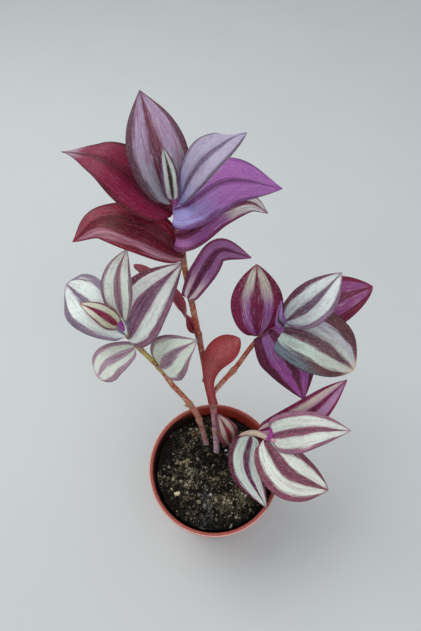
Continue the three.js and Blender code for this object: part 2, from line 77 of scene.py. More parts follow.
# down: how far below its stem's tip a leaf's sheath sits. rib: where the midrib runs after that.
# side: the way it leaves the stem, if not straight to the rib. up: the way the upper side faces,
# and first: at the foot, where that differs. fold: how steeply each half rises at the base and
# at the point. blunt and pointed: how full the base is and how drawn out the point. lobe: how
# far the base reaches back round the stem. stalk: half width at the foot, and how fast it fades.
LEAVES = {
    "main_leaf_1": dict(
        down=148, rib=[[-3.5, 35, 131], [-2, 39, 145], [3, 42, 157], [15, 48.5, 164]],
        up=[0.2, 0.8, -0.6], width=16.5, fold=[15, 8], blunt=3.4, pointed=0.8, stalk=[3.4, 1]),
    "main_leaf_2": dict(
        down=91, rib=[[-29.5, 75, 176.5], [-50.5, 92, 178]], first=[0, 0.3, 0.9], up=[0.3, 0.9, 0.3],
        width=28, fold=[20, 15], blunt=0.9, pointed=0.5),
    "main_leaf_3": dict(
        down=63, rib=[[-6, 66.5, 205], [3, 75, 211], [20.5, 77.5, 202.5]], side=[-0.6, -1, 0],
        up=[0.3, -0.6, 0.6], width=15, fold=[25, 10], blunt=0.8, lobe=6),
    "main_leaf_4": dict(
        down=36, rib=[[-37, 68, 232], [-57.5, 72, 233], [-72.5, 68, 224]], side=[0.5, -1, 0],
        up=[0.1, -0.4, 0.9], width=25, fold=[20, 5], blunt=0.8, lobe=2),
    "main_leaf_5": dict(
        down=22.5, rib=[[-13, 66.5, 232], [0, 76, 237], [17, 86, 234], [28, 87.5, 226]],
        side=[-0.6, -1, 0.1], up=[-0.2, -0.5, 0.8], width=20, fold=[20, 10], lobe=7),
    "main_leaf_6": dict(
        down=12, rib=[[-45, 81.5, 257], [-59, 87.5, 260], [-75, 97, 256]], up=[0.2, -0.5, 0.85], width=28,
        fold=[25, 5], blunt=0.85, pointed=1.7),
    "main_leaf_7": dict(
        down=7.2, rib=[[-13, 67, 248.5], [6, 76, 255], [32, 80.5, 247]], side=[-0.8, -1, 0.2],
        up=[-0.2, -0.5, 0.85], width=26, fold=[8, 5], blunt=0.62, lobe=7),
    "main_leaf_8": dict(
        down=4.5, rib=[[-26, 80.5, 266], [-34.5, 106, 281]], side=[-1, -0.3, 0], up=[0.1, -0.7, 0.7],
        width=27, fold=[25, 10], blunt=0.75, lobe=2),
    "main_leaf_9": dict(
        down=2.6, rib=[[-7.5, 63.5, 271], [3.5, 67.5, 279], [12.5, 76.5, 278]], side=[0.8, -0.8, 0],
        up=[-0.6, -0.5, 0.6], width=18, fold=[20, 10], blunt=1.1, lobe=2),
    "main_leaf_10": dict(
        down=0.6, rib=[[-20.5, 71, 264], [-22.5, 72.5, 274]], side=[-0.6, -1, 0], up=[0, -1, 0.2],
        width=8, fold=[35, 20], blunt=0.8),
    "left_leaf_1": dict(
        down=44, rib=[[-23, 40.5, 161.5], [-10, 42, 172]], up=[-0.6, -0.7, 0.3], width=30, fold=[15, 5],
        blunt=0.62),
    "left_leaf_2": dict(
        down=23, rib=[[-66.5, 43.5, 144], [-76, 40, 131]], up=[-0.2, -0.5, 0.8], width=23, fold=[10, 0],
        blunt=0.8, pointed=0.5),
    "left_leaf_3": dict(
        down=13.5, rib=[[-38, 63.5, 184], [-18.5, 78, 198]], side=[-0.5, -1, 0], up=[-0.3, -0.5, 0.8],
        width=36, fold=[20, 10], blunt=0.6, lobe=3),
    "left_leaf_4": dict(
        down=10.5, rib=[[-72.5, 61.5, 178], [-93.5, 84, 172]], side=[0, -1, 0], up=[0, -0.65, 0.75],
        width=32, fold=[20, 10], blunt=0.9, pointed=0.8, lobe=4),
    "left_leaf_5": dict(
        down=3, rib=[[-54.5, 60, 190], [-52.5, 65.5, 204], [-48, 76.5, 211]], side=[0.5, 0.8, 0.3],
        up=[0, -0.8, 0.6], width=18, fold=[30, 15], blunt=1.3, pointed=1.2, lobe=2),
    "left_leaf_6": dict(
        down=0.6, rib=[[-65, 50.5, 188], [-74, 52, 193.5]], side=[-0.5, -1, 0], up=[0.3, -0.5, 0.8],
        width=13, fold=[35, 20], blunt=0.8, lobe=2),
    "right_leaf_1": dict(
        down=12.5, rib=[[36, 49.5, 164.5], [46.5, 42, 150], [56, 24, 131]], side=[-0.6, -0.7, 0.9],
        up=[-0.1, -0.4, 0.85], width=35, fold=[5, 5], blunt=0.7, pointed=1.1, lobe=8),
    "right_leaf_2": dict(
        down=21, rib=[[25, 60, 174], [24.5, 80.5, 194]], up=[0, -0.6, 0.75], width=31, fold=[15, 10],
        blunt=0.95, pointed=0.95),
    "right_leaf_3": dict(
        down=9.5, rib=[[69, 68.5, 173.5], [94.5, 74, 181.5]], up=[-0.1, -0.25, 0.95], width=33,
        fold=[15, 10], blunt=0.8, pointed=0.8, lobe=0),
    "right_leaf_4": dict(
        down=7, rib=[[59.5, 43, 169], [84.5, 35.5, 149]], side=[0.3, -1, 0.3], up=[-0.1, -0.58, 0.8],
        width=38, fold=[12, 0], pointed=0.6, lobe=8),
    "right_leaf_5": dict(
        down=1, rib=[[54, 54.5, 191], [69, 65.5, 203.5]], up=[-0.3, -0.6, 0.7], width=24, fold=[25, 15],
        blunt=1),
    "right_leaf_6": dict(
        down=4, rib=[[35.5, 51, 181], [37, 57, 190]], side=[-0.9, -0.5, 0.2], up=[0.6, -0.7, 0.3],
        width=8, fold=[40, 30], blunt=0.8),
    "short_leaf_1": dict(
        down=44, rib=[[9, 18.5, 92], [2.5, 26, 104]], up=[0.5, -0.7, 0.5], width=15, fold=[25, 10],
        blunt=0.9),
    "short_leaf_2": dict(
        down=20, rib=[[21, -6.5, 93], [34, -29, 81.5]], up=[-0.2, -0.4, 0.85], width=23, fold=[15, 5]),
    "short_leaf_3": dict(
        down=14, rib=[[57.5, 19.5, 116], [86, 38.5, 130]], up=[-0.1, -0.7, 0.7], width=22, fold=[25, 10],
        blunt=0.9),
    "short_leaf_4": dict(
        down=8, rib=[[46.5, -12, 101], [74, -19, 87]], up=[0, -0.4, 0.9], width=31, fold=[15, 5],
        blunt=0.65, pointed=0.85),
    "short_leaf_5": dict(
        down=3, rib=[[60, 7.5, 124], [85, 8, 121]], up=[-0.1, -0.5, 0.85], width=26, fold=[20, 10]),
}
# What the leaves share, unless their own row says otherwise
BLADE = dict(rows=64, columns=14, thick=0.5, blunt=0.5, pointed=1.05, stalk=[2, 4], tip_half=0.3, curl=18,
             lobe=3, twisted=0.35)

# How the leaves are coloured, in 0-255 screen values: margin, middle band, and the stripe between
# them at the base and at the tip. The stripe's change from base to tip is partly the leaf's own
# colour and partly painted shade: where it runs from dark red or purple to pale silver, the darker
# base is painted shade of the leaves above and the pale tip is where the leaf lies in the light.
# under and under2 are the underside's tones, point is the very tip, if not as the margin.
# band_width and edge say how wide the middle band is and where the margin begins, as shares of
# the half width, and turn where the stripe's colour changes along the leaf. streak and cut say how
# much of the band's colour streaks the stripe and how narrow the streaks are, shine how bright its
# hairlines are, and spots how dark the underside's dots are. half gives the side (-1 or 1), colour
# and reach of a margin that differs on one half of the leaf, and half_stripe the side, colour and
# share left at the point of a stripe that does.
PLAIN_LOOK = dict(under=(140, 58, 104), under2=(108, 44, 84), band_width=0.24, edge=0.72, turn=(0.2, 0.7),
                  streak=0.55, cut=(0.46, 0.68), shine=0.15, spots=0.4)


def look(margin, band, base, tip, **others):
    return PLAIN_LOOK | dict(margin=margin, band=band, base=base, tip=tip, point=margin) | others


LOOKS = {
    "main_leaf_1": look(
        (134, 50, 56), (134, 50, 56), (152, 66, 70), (142, 54, 58), under=(146, 54, 57),
        under2=(166, 86, 88), spots=0.6),
    "main_leaf_2": look(
        (128, 22, 48), (128, 22, 48), (140, 30, 58), (150, 40, 66), under=(176, 24, 66),
        under2=(140, 20, 52)),
    "main_leaf_3": look(
        (126, 54, 96), (98, 36, 72), (198, 172, 176), (138, 84, 132), band_width=0.3, edge=0.76,
        turn=(0.1, 0.35), shine=0.5),
    "main_leaf_4": look(
        (128, 18, 50), (104, 12, 44), (144, 30, 56), (148, 84, 92),
        half_stripe=(-1, (160, 112, 128), 1.0), band_width=0.5, edge=0.86, turn=(0.55, 0.95), streak=0.95,
        cut=(0.42, 0.54), shine=0.25),
    "main_leaf_5": look(
        (134, 62, 104), (114, 42, 78), (156, 92, 154), (212, 210, 204), band_width=0.34, edge=0.82,
        turn=(0.38, 0.6), streak=0.9, cut=(0.44, 0.62), shine=0.5),
    # main_leaf_6: the crimson of its stripe below about 0.8 of its length is painted shadow of the leaf
    # above; past that its pale tip lies in the light.
    "main_leaf_6": look(
        (104, 16, 46), (102, 18, 50), (118, 16, 58), (156, 130, 148), band_width=0.26, edge=0.86,
        turn=(0.78, 0.84), streak=0.5, shine=0.1),
    "main_leaf_7": look(
        (128, 80, 134), (124, 72, 126), (150, 142, 196), (154, 94, 160), band_width=0.14, edge=0.88,
        turn=(0.05, 0.5), streak=0.6, shine=0.35),
    "main_leaf_8": look(
        (96, 62, 74), (112, 60, 76), (140, 138, 148), (146, 122, 150), band_width=0.26, edge=0.74,
        turn=(0.1, 0.6), streak=0.75, cut=(0.46, 0.64), shine=0.6),
    "main_leaf_9": look(
        (108, 92, 112), (116, 96, 124), (130, 130, 180), (162, 152, 176), band_width=0.22, edge=0.84,
        turn=(0.05, 0.45), streak=0.5, shine=0.45),
    "main_leaf_10": look(
        (110, 70, 112), (84, 66, 60), (184, 190, 184), (202, 206, 198), band_width=0.3, edge=0.74,
        turn=(0.1, 0.4)),
    "left_leaf_1": look(
        (150, 112, 126), (154, 118, 136), (208, 218, 202), (202, 212, 198), band_width=0.26, edge=0.76),
    "left_leaf_2": look(
        (184, 146, 166), (184, 150, 168), (212, 222, 206), (216, 222, 208), band_width=0.28, edge=0.7),
    "left_leaf_3": look(
        (136, 92, 114), (136, 90, 118), (206, 214, 206), (218, 224, 218), half=(-1, (104, 34, 58), 0.9),
        band_width=0.3, edge=0.72),
    "left_leaf_4": look(
        (136, 118, 138), (128, 108, 128), (208, 218, 210), (214, 222, 216), band_width=0.2, edge=0.72),
    "left_leaf_5": look(
        (154, 122, 138), (158, 116, 134), (212, 220, 204), (220, 226, 214), band_width=0.28, edge=0.78),
    "left_leaf_6": look(
        (150, 104, 112), (148, 38, 78), (192, 196, 164), (212, 214, 192), band_width=0.38, edge=0.82),
    "right_leaf_1": look(
        (92, 24, 56), (94, 26, 60), (128, 80, 132), (138, 64, 132), band_width=0.2, edge=0.64,
        turn=(0.2, 0.55), streak=0.75, shine=0.5),
    "right_leaf_2": look(
        (124, 32, 70), (120, 32, 70), (142, 84, 142), (200, 202, 182), band_width=0.24, edge=0.6,
        turn=(0.4, 0.78), streak=0.8, cut=(0.42, 0.62), shine=0.8),
    "right_leaf_3": look(
        (106, 26, 52), (106, 30, 58), (126, 60, 116), (128, 68, 114), band_width=0.28, edge=0.62,
        turn=(0.6, 0.9), streak=0.85, cut=(0.44, 0.62), shine=0.5),
    "right_leaf_4": look(
        (106, 60, 64), (106, 66, 80), (180, 196, 186), (192, 196, 184), half=(1, (102, 116, 126), 0.0),
        half_stripe=(-1, (176, 172, 184), 0.7), point=(204, 178, 156), band_width=0.2, edge=0.6),
    "right_leaf_5": look(
        (138, 112, 134), (118, 88, 110), (190, 198, 198), (208, 214, 210), half=(-1, (104, 54, 72), 0.5),
        band_width=0.24, edge=0.72),
    "right_leaf_6": look(
        (176, 60, 190), (84, 66, 92), (138, 118, 146), (150, 120, 160), band_width=0.3, edge=0.8),
    "short_leaf_1": look(
        (124, 66, 80), (134, 36, 52), (168, 150, 130), (178, 160, 150), band_width=0.28, edge=0.64,
        streak=0.8),
    "short_leaf_2": look(
        (100, 34, 62), (98, 30, 76), (180, 194, 182), (194, 202, 194), band_width=0.22, edge=0.68,
        streak=0.7),
    "short_leaf_3": look(
        (142, 36, 88), (134, 38, 84), (190, 152, 180), (176, 130, 168),
        half_stripe=(-1, (210, 194, 182), 1.0), band_width=0.26, edge=0.7, shine=0.5),
    "short_leaf_4": look(
        (136, 72, 92), (124, 60, 82), (216, 222, 212), (216, 218, 206), band_width=0.28, edge=0.7),
    "short_leaf_5": look(
        (160, 106, 130), (136, 74, 100), (206, 214, 202), (216, 220, 210), band_width=0.22, edge=0.74),
}


# Numbers
def unit(vectors):
    return vectors / np.linalg.norm(vectors, axis=-1, keepdims=True)


def smooth(x, low, high):
    t = np.clip((x - low) / (high - low), 0, 1)
    return t * t * (3 - 2 * t)


def turns(count, start=0.0):
    """Angles of count points spread round a circle."""
    return (np.arange(count) + start) / count * 2 * math.pi


def run_along(points):
    """How far along a line of points each lies."""
    return np.concatenate([[0], np.cumsum(np.linalg.norm(np.diff(points, axis=0), axis=1))])


LATTICE_SIZE, LAYER_SHIFT = 32, 7.31
LATTICE = np.random.default_rng(11).random((LATTICE_SIZE,) * 3) * 2 - 1


def lumps(points, cell, layers=3):
    """Smooth noise from -1 to 1 at an array of points, its coarsest bumps cell wide: random
    values on a lattice, blended between the eight corners about each point, in layers that
    halve in size and height."""
    total = np.zeros(points.shape[:-1])
    for layer in range(layers):
        at = points / cell * 2 ** layer + LAYER_SHIFT * layer
        low = np.floor(at).astype(int)
        part = at - low
        part = part * part * (3 - 2 * part)
        value = 0
        for corner in np.ndindex(2, 2, 2):
            weight = np.prod(np.where(corner, part, 1 - part), axis=-1)
            value = value + weight * LATTICE[tuple(((low + corner) % LATTICE_SIZE).T)].T
        total += value / 2 ** layer
    return total / 2


ROUTE_SAMPLES = 1201


class Route:
    """A curve through points, whose tangent at each is half the step between its neighbours
    (the uniform Catmull-Rom rule), measured along its length."""

    def __init__(self, points):
        p = np.array(points, float)
        self.knots = np.vstack([2 * p[0] - p[1], p, 2 * p[-1] - p[-2]])
        self.steps = np.linspace(0, 1, ROUTE_SAMPLES)
        self.run = run_along(self.at(self.steps))
        self.length = self.run[-1]

    def at(self, t):
        spans = len(self.knots) - 3
        x = np.clip(t, 0, 1) * spans
        i = np.minimum(x.astype(int), spans - 1)
        w = (x - i)[:, None]
        p0, p1, p2, p3 = (self.knots[i + k] for k in range(4))
        return (p1 + 0.5 * w * (p2 - p0) + w * w * (p0 - 2.5 * p1 + 2 * p2 - 0.5 * p3)
                + w ** 3 * (-0.5 * p0 + 1.5 * p1 - 1.5 * p2 + 0.5 * p3))

    def place(self, distance):
        """Points and unit tangents at distances along the curve, straight on past its ends."""
        distance = np.atleast_1d(np.asarray(distance, float))
        t = np.interp(distance, self.run, self.steps)
        small = 1e-4
        along = unit(self.at(np.minimum(t + small, 1)) - self.at(np.maximum(t - small, 0)))
        beyond = np.maximum(distance - self.length, 0) + np.minimum(distance, 0)
        return self.at(t) + along * beyond[:, None], along


ROUTES = {name: Route(stem["through"]) for name, stem in STEMS.items()}


def stem_radius(name, distance):
    stem = STEMS[name]
    thick, thin = stem["radius"]
    total = thick + (thin - thick) * distance / ROUTES[name].length
    for node in stem["nodes"]:
        total = total + SWELL * np.exp(-((distance - node) / SWELL_REACH) ** 2)
    return total


TAPER = (POT["rim_radius"] - POT["lip"] - POT["base_radius"]) / POT["height"]


def pot_outer(height):
    return POT["base_radius"] + TAPER * height


def pot_inner(height):
    return pot_outer(height) - POT["wall"]


# Meshes
WELD = 5e-7  # points closer than this, in metres, are one


class Skin:
    """Surfaces gathered into one mesh, each a grid of points with its own UVs and material."""

    def __init__(self):
        self.points, self.corners, self.sides = [], [], []
        self.uvs, self.slots, self.tones = [], [], []
        self.count = 0

    def add(self, points, faces, uvs=None, slot=0, tone=0.0):
        """Adds points and their faces, one row of corners each, with a UV for every corner."""
        self.points.append(points)
        self.corners.append((faces + self.count).ravel())
        self.sides.append(np.full(len(faces), faces.shape[1]))
        self.uvs.append(np.zeros((faces.size, 2)) if uvs is None else uvs.reshape(-1, 2))
        self.slots.append(np.full(len(faces), slot))
        self.tones.append(np.broadcast_to(tone, len(points)))
        self.count += len(points)

    def grid(self, points, rows, wrap=False, slot=0, tone=0.0, back=False, lift=0.0, caps=False):
        """Adds a grid of points: columns run across and rows along, and rows holds the V of
        each row. A wrapped grid closes on itself across, and caps close its two ends with a fan
        of triangles each."""
        high, wide = points.shape[:2]
        across = wide if wrap else wide - 1
        r, c = (index.ravel() for index in np.mgrid[0:high - 1, 0:across])
        after = (c + 1) % wide
        corners = [(r, c, c), (r, after, c + 1), (r + 1, after, c + 1), (r + 1, c, c)]
        if back:
            corners = corners[::-1]
        quads = np.stack([row * wide + column for row, column, _ in corners], axis=1)
        u = np.stack([place / across for _, _, place in corners], axis=1)
        v = np.stack([np.asarray(rows)[row] + lift for row, _, _ in corners], axis=1)
        self.add(points.reshape(-1, 3), quads, np.stack([u, v], axis=2), slot, tone)
        if caps:
            size = high * wide
            turn = np.arange(wide)
            after, pole = (turn + 1) % wide, np.full(wide, size)
            ends = np.broadcast_to(tone, size)[[0, -1]]
            self.add(points[[0, -1]].mean(axis=1), np.zeros((0, 3), int), slot=slot, tone=ends)
            last = size - wide
            fans = ((after, turn, pole, rows[0]), (turn + last, after + last, pole + 1, rows[-1]))
            for first, second, third, end in fans:
                fan = np.stack([first, second, third], axis=1) - size - 2
                u = np.stack([turn, turn + 1, turn + 0.5], axis=1) / wide
                self.add(np.zeros((0, 3)), fan, np.stack([u, np.full(u.shape, end)], axis=2), slot)

    def sleeve(self, outer, inner, rows, slot, ends=(0, 0)):
        """Adds a thin tube: its outside, its inside and the two rims that join them."""
        self.grid(outer, rows, wrap=True, slot=slot)
        self.grid(inner, rows, wrap=True, slot=slot, back=True)
        self.grid(np.stack([outer[-1], inner[-1]]), [ends[1]] * 2, wrap=True, slot=slot)
        self.grid(np.stack([inner[0], outer[0]]), [ends[0]] * 2, wrap=True, slot=slot)

    def build(self, name, materials, body="root", crease=None):
        """Makes the mesh, with points that lie together welded into one. Edges sharper than
        crease, in degrees, are shaded as edges and the rest as one smooth surface."""
        mesh = bpy.data.meshes.new(name)
        points = np.concatenate(self.points) * MM
        corners, sides = np.concatenate(self.corners), np.concatenate(self.sides)
        mesh.vertices.add(len(points))
        mesh.vertices.foreach_set("co", points.ravel())
        mesh.loops.add(len(corners))
        mesh.loops.foreach_set("vertex_index", corners.astype(np.int32))
        mesh.polygons.add(len(sides))
        mesh.polygons.foreach_set("loop_start", (np.cumsum(sides) - sides).astype(np.int32))
        mesh.polygons.foreach_set("material_index", np.concatenate(self.slots).astype(np.int32))
        mesh.update(calc_edges=True)
        layer = mesh.uv_layers.new(name="grid")
        layer.data.foreach_set("uv", np.concatenate(self.uvs).ravel().astype(np.float32))
        tone = mesh.attributes.new("tone", "FLOAT", "POINT")
        tone.data.foreach_set("value", np.concatenate(self.tones).astype(np.float32))
        whole = bmesh.new()
        whole.from_mesh(mesh)
        bmesh.ops.remove_doubles(whole, verts=whole.verts, dist=WELD)
        whole.to_mesh(mesh)
        whole.free()
        mesh.validate()
        mesh.shade_smooth()
        if crease is not None:
            mesh.set_sharp_from_angle(angle=math.radians(crease))
        for material in materials:
            mesh.materials.append(material)
        piece = bpy.data.objects.new(name, mesh)
        bpy.context.scene.collection.objects.link(piece)
        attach(piece, body)
        return piece


def rings(centres, along, radii, sides, first=(1.0, 0.0, 0.0), shape=None):
    """Rings of points about a path, one row each, carried along it without turning. shape, if
    given, is a factor for each ring and side."""
    out = np.array(first)
    angles = turns(sides)
    rows = []
    for centre, direction, radius in zip(centres, along, radii):
        out = unit(out - direction * np.dot(out, direction))
        side = np.cross(direction, out)
        rows.append(centre + radius * (np.cos(angles)[:, None] * out + np.sin(angles)[:, None] * side))
    grid = np.array(rows)
    if shape is not None:
        grid = centres[:, None] + (grid - centres[:, None]) * shape[..., None]
    return grid


# Materials
def tint(colour, share=1.0):
    """Screen values from 0 to 255, times share, as the linear colour that a shader takes."""
    c = np.array(colour, float) * share / 255
    linear = np.where(c <= 0.04045, c / 12.92, ((c + 0.055) / 1.055) ** 2.4)
    return (*np.clip(linear, 0, 1), 1.0)


BLACK = (0.0, 0.0, 0.0, 1.0)
CONTRAST, SHEEN, DARKEST = 1.22, 0.011, 0.003


def deep(colour, share=1.0):
    """A leaf's colour as its surface has it, darker than it looks under the sky's sheen."""
    linear = np.array(tint(colour, share)[:3])
    return (*np.clip(linear * CONTRAST - SHEEN, DARKEST, 1), 1.0)


class Value:
    """A number or colour that a node gives. To add, subtract or multiply it makes one more node."""

    def __init__(self, graph, socket):
        self.graph, self.socket = graph, socket

    def __add__(self, other):
        return self.graph.math("ADD", self, other)

    def __sub__(self, other):
        return self.graph.math("SUBTRACT", self, other)

    def __mul__(self, other):
        return self.graph.math("MULTIPLY", self, other)


class Graph:
    """A material, with short ways to add and link its nodes."""

    def __init__(self, name, **sockets):
        self.material = bpy.data.materials.new(name)
        self.material.use_nodes = True
        self.tree = self.material.node_tree
        self.shader = self.tree.nodes["Principled BSDF"]
        for socket, value in sockets.items():
            self.shader.inputs[socket.replace("_", " ")].default_value = value

    def node(self, kind, *inputs, named=(), output=0, **settings):
        """Adds a node, with its first inputs filled in turn and others by name, and gives one
        of its outputs."""
        made = self.tree.nodes.new("ShaderNode" + kind)
        for key, value in settings.items():
            setattr(made, key, value)
        for socket, value in (*enumerate(inputs), *named):
            self.feed(made.inputs[socket], value)
        return Value(self, made.outputs[output])

    def feed(self, socket, value):
        if isinstance(value, Value):
            self.tree.links.new(value.socket, socket)
        elif value is not None:
            socket.default_value = value

    def finish(self, colour, height=None, strength=0.0, distance=0.0):
        """Gives the surface its colour and its bumps, if any, and hands over the material."""
        self.feed(self.shader.inputs["Base Color"], colour)
        if height is not None:
            sockets = (("Strength", strength), ("Distance", distance), ("Height", height))
            self.feed(self.shader.inputs["Normal"], self.node("Bump", named=sockets))
        return self.material

    def math(self, operation, a, b=None):
        return self.node("Math", a, b, operation=operation)

    def mix(self, factor, a, b):
        return self.node("Mix", named=((0, factor), (6, a), (7, b)), output=2, data_type="RGBA")

    def step(self, value, low, high, start=0.0, end=1.0):
        """Goes smoothly from start to end while value goes from low to high."""
        return self.node("MapRange", value, low, high, start, end, interpolation_type="SMOOTHSTEP")

    def lay(self, colour, over, value, low, high, most=1.0):
        """Lays a second colour on the first while value goes from low to high."""
        return self.mix(self.step(value, low, high, 0.0, most), colour, over)

    def noise(self, vector, scale, detail=3.0, roughness=0.55):
        sockets = (("Vector", vector), ("Scale", scale), ("Detail", detail), ("Roughness", roughness))
        return self.node("TexNoise", named=sockets)

    def parts(self, vector):
        made = self.node("SeparateXYZ", vector).socket.node
        return [Value(self, output) for output in made.outputs]

    def uv(self):
        return self.parts(self.node("UVMap", uv_map="grid"))[:2]

    def place(self):
        return self.node("TexCoord", output="Object")

    def around(self, u, height):
        """A point on a unit circle at u, so that a pattern meets itself round a stem."""
        turn = u * (2 * math.pi)
        return self.node("CombineXYZ", self.math("COSINE", turn), self.math("SINE", turn), height)

    def roughen(self, value, low, high, start, end):
        """Lets the roughness go from start to end while value goes from low to high."""
        self.feed(self.shader.inputs["Roughness"], self.step(value, low, high, start, end))

    def ramp(self, value, places, colours):
        made = self.node("ValToRGB", value)
        elements = made.socket.node.color_ramp.elements
        for index, (at, colour) in enumerate(zip(places, colours)):
            element = elements[index] if index < 2 else elements.new(at)
            element.position = at
            element.color = tint(colour)
        return made


# Patterns on a leaf, in bumps to the metre, and its veins, in radians over half its width
GRAIN, DOTS, CELLS = 1300.0, 800.0, 420.0
VEINS = 62.0


def leaf_material(name, look, seed):
    """Stripes that follow the veins: the distance from the midrib, in shares of the half
    width and roughened by noise drawn out along the leaf, is cut into band, stripe and
    margin. V above 1.5 is the underside."""
    g = Graph(name, Subsurface_Weight=0.06, Subsurface_Scale=0.002, Subsurface_Radius=(1.0, 0.35, 0.4),
              Specular_IOR_Level=0.22)
    u, v = g.uv()
    below = g.math("GREATER_THAN", v, 1.5)
    s = v - below * 2.0
    side = u - 0.5
    across = g.math("ABSOLUTE", side) * 2.0

    def streaks(wide, long, detail=4.0):
        return g.noise(g.node("CombineXYZ", u * wide, s * long, seed), 1.0, detail, 0.65)

    broad, fine, hair = streaks(6.0, 1.8), streaks(26.0, 3.0), streaks(80.0, 7.0, 2.0)
    grain = g.noise(g.place(), GRAIN, 3.0, 0.7)
    cells = g.noise(g.place(), CELLS, 2.0, 0.6)
    dots = g.noise(g.place(), DOTS, 3.0, 0.7)
    place = across + ((broad - 0.5) * 0.34 + (fine - 0.5) * 0.3)
    band_width, edge, blur = look["band_width"], look["edge"], 0.06
    taper = g.step(s, 0.35, 1.0, band_width, band_width * 0.45)
    in_band = g.step(place - taper, -blur, blur, 1.0, 0.0)
    in_margin = g.step(place, edge - blur, edge + blur)

    # The stripe's colour from base to tip; where it is dark red or purple towards the base and pale silver
    # at the tip, the darker part is painted shade of the leaves above.
    stripe = g.lay(deep(look["base"]), deep(look["tip"]), s + (fine - 0.5) * 0.5, *look["turn"])
    if "half_stripe" in look:
        towards, shade, ending = look["half_stripe"]
        half = g.step(side * towards + (fine - 0.5) * 0.4, 0.05, 0.25) * g.step(s, 0.0, 1.0, 1.0, ending)
        stripe = g.mix(half, stripe, deep(shade))
    shaded = g.mix(0.65, stripe, deep(look["band"]))
    stripe = g.lay(stripe, shaded, fine, *look["cut"], look["streak"])
    stripe = g.lay(stripe, tint((216, 208, 218)), hair, 0.54, 0.72, look["shine"])
    dark_band = deep(look["band"], 0.62)
    band = g.lay(deep(look["band"]), dark_band, fine, 0.38, 0.66, 0.8)
    band = g.lay(band, stripe, hair, 0.58, 0.7, 0.4)
    margin = g.lay(deep(look["margin"]), deep(look["margin"], 0.8), broad, 0.36, 0.64, 0.8)
    if "half" in look:
        towards, shade, reach = look["half"]
        margin = g.lay(margin, deep(shade), side * towards - s * (0.5 - reach / 2), 0.0, 0.3)
    margin = g.lay(margin, dark_band, fine, 0.42, 0.64, 0.5)

    colour = g.mix(in_margin, g.mix(in_band, stripe, band), margin)
    colour = g.lay(colour, deep(look["point"]), s + (fine - 0.5) * 0.1, 0.9, 0.985, 0.7)
    colour = g.lay(colour, deep(look["margin"], 0.5), across, 0.95, 0.99, 0.65)
    midrib = g.step(across, 0.012, 0.035, 0.55, 0.0)
    colour = g.mix(midrib, colour, dark_band)
    colour = g.lay(colour, BLACK, grain, 0.52, 0.75, 0.3)
    colour = g.lay(colour, tint((226, 206, 230)), grain, 0.48, 0.25, 0.09)
    colour = g.lay(colour, deep(look["margin"], 0.7), cells, 0.5, 0.72, 0.17)
    purple = g.math("MAXIMUM", in_band, in_margin)
    colour = g.mix(purple * g.step(grain, 0.5, 0.34, 0.0, 0.17), colour, stripe)
    underside = g.lay(deep(look["under2"]), deep(look["under"]), place + cells * 0.4, 0.2, 1.2)
    underside = g.lay(underside, deep(look["under2"], 0.6), grain, 0.5, 0.72, 0.35)
    underside = g.lay(underside, deep(look["under"], 0.78), dots, 0.44, 0.66, look["spots"])
    veins = g.math("SINE", across * VEINS)
    g.roughen(cells, 0.3, 0.7, 0.36, 0.52)
    return g.finish(g.mix(below, colour, underside), veins * 0.25 + (fine + grain * 0.4), 0.4, 0.0003)


def stem_material(name, seed, streaks):
    """Colours that change along the stem, with lengthwise streaks and speckles. V runs from 0
    at the buried end to 1 at the tip."""
    g = Graph(name, Subsurface_Weight=0.08, Subsurface_Scale=0.002)
    u, v = g.uv()
    moved = (seed, seed * 0.7, seed * 1.3)
    streak = g.noise(g.node("VectorMath", g.around(u, v * 12.0), moved, operation="ADD"), 3.0, 4.0, 0.6)
    mottle = g.noise(g.place(), 700.0, 3.0, 0.6)
    blotch = g.noise(g.place(), 230.0, 3.0, 0.6)
    colour = g.ramp(v + (streak - 0.5) * 0.06, *zip(*STEM_LOOKS[name]))
    colour = g.lay(colour, tint(streaks), streak, 0.46, 0.7, 0.45)
    colour = g.lay(colour, tint((226, 204, 186)), mottle, 0.52, 0.66, 0.5)
    colour = g.lay(colour, tint(streaks, 0.86), mottle, 0.46, 0.34, 0.45)
    colour = g.lay(colour, tint((222, 192, 164)), blotch, 0.54, 0.64, 0.3)
    colour = g.lay(colour, tint(streaks, 0.9), blotch, 0.45, 0.36, 0.55)
    low = g.step(v, 0.28, 0.08) * g.step(mottle, 0.47, 0.58, 0.0, 0.75)
    g.roughen(mottle, 0.3, 0.7, 0.42, 0.6)
    return g.finish(g.mix(low, colour, tint((232, 212, 224))), mottle + streak, 0.3, 0.0003)


def sheath_material(name, colour, vein):
    g = Graph(name, Subsurface_Weight=0.15, Subsurface_Scale=0.002, Roughness=0.5)
    u, v = g.uv()
    fine = g.noise(g.around(u, v * 0.3), 9.0, 2.0)
    streak = g.lay(tint(colour), tint(vein), fine, 0.45, 0.62)
    mottle = g.noise(g.place(), 500.0, 3.0)
    return g.finish(g.lay(streak, tint((214, 190, 172)), mottle, 0.5, 0.75, 0.35), fine, 0.3, 0.0002)


def hair_material():
    g = Graph("hairs", Roughness=0.4, Subsurface_Weight=0.3, Subsurface_Scale=0.001)
    shade = g.noise(g.place(), 900.0, 2.0)
    return g.finish(g.lay(tint((226, 214, 220)), tint((200, 180, 196)), shade, 0.4, 0.6))


PEAT_TONES = (0.0, 0.28, 0.5, 0.72, 1.0)
PEAT = ((9, 7, 5), (30, 24, 16), (70, 59, 42), (120, 107, 82), (188, 178, 152))
ASH = ((11, 10, 9), (34, 32, 32), (74, 70, 70), (128, 122, 120), (176, 170, 168))


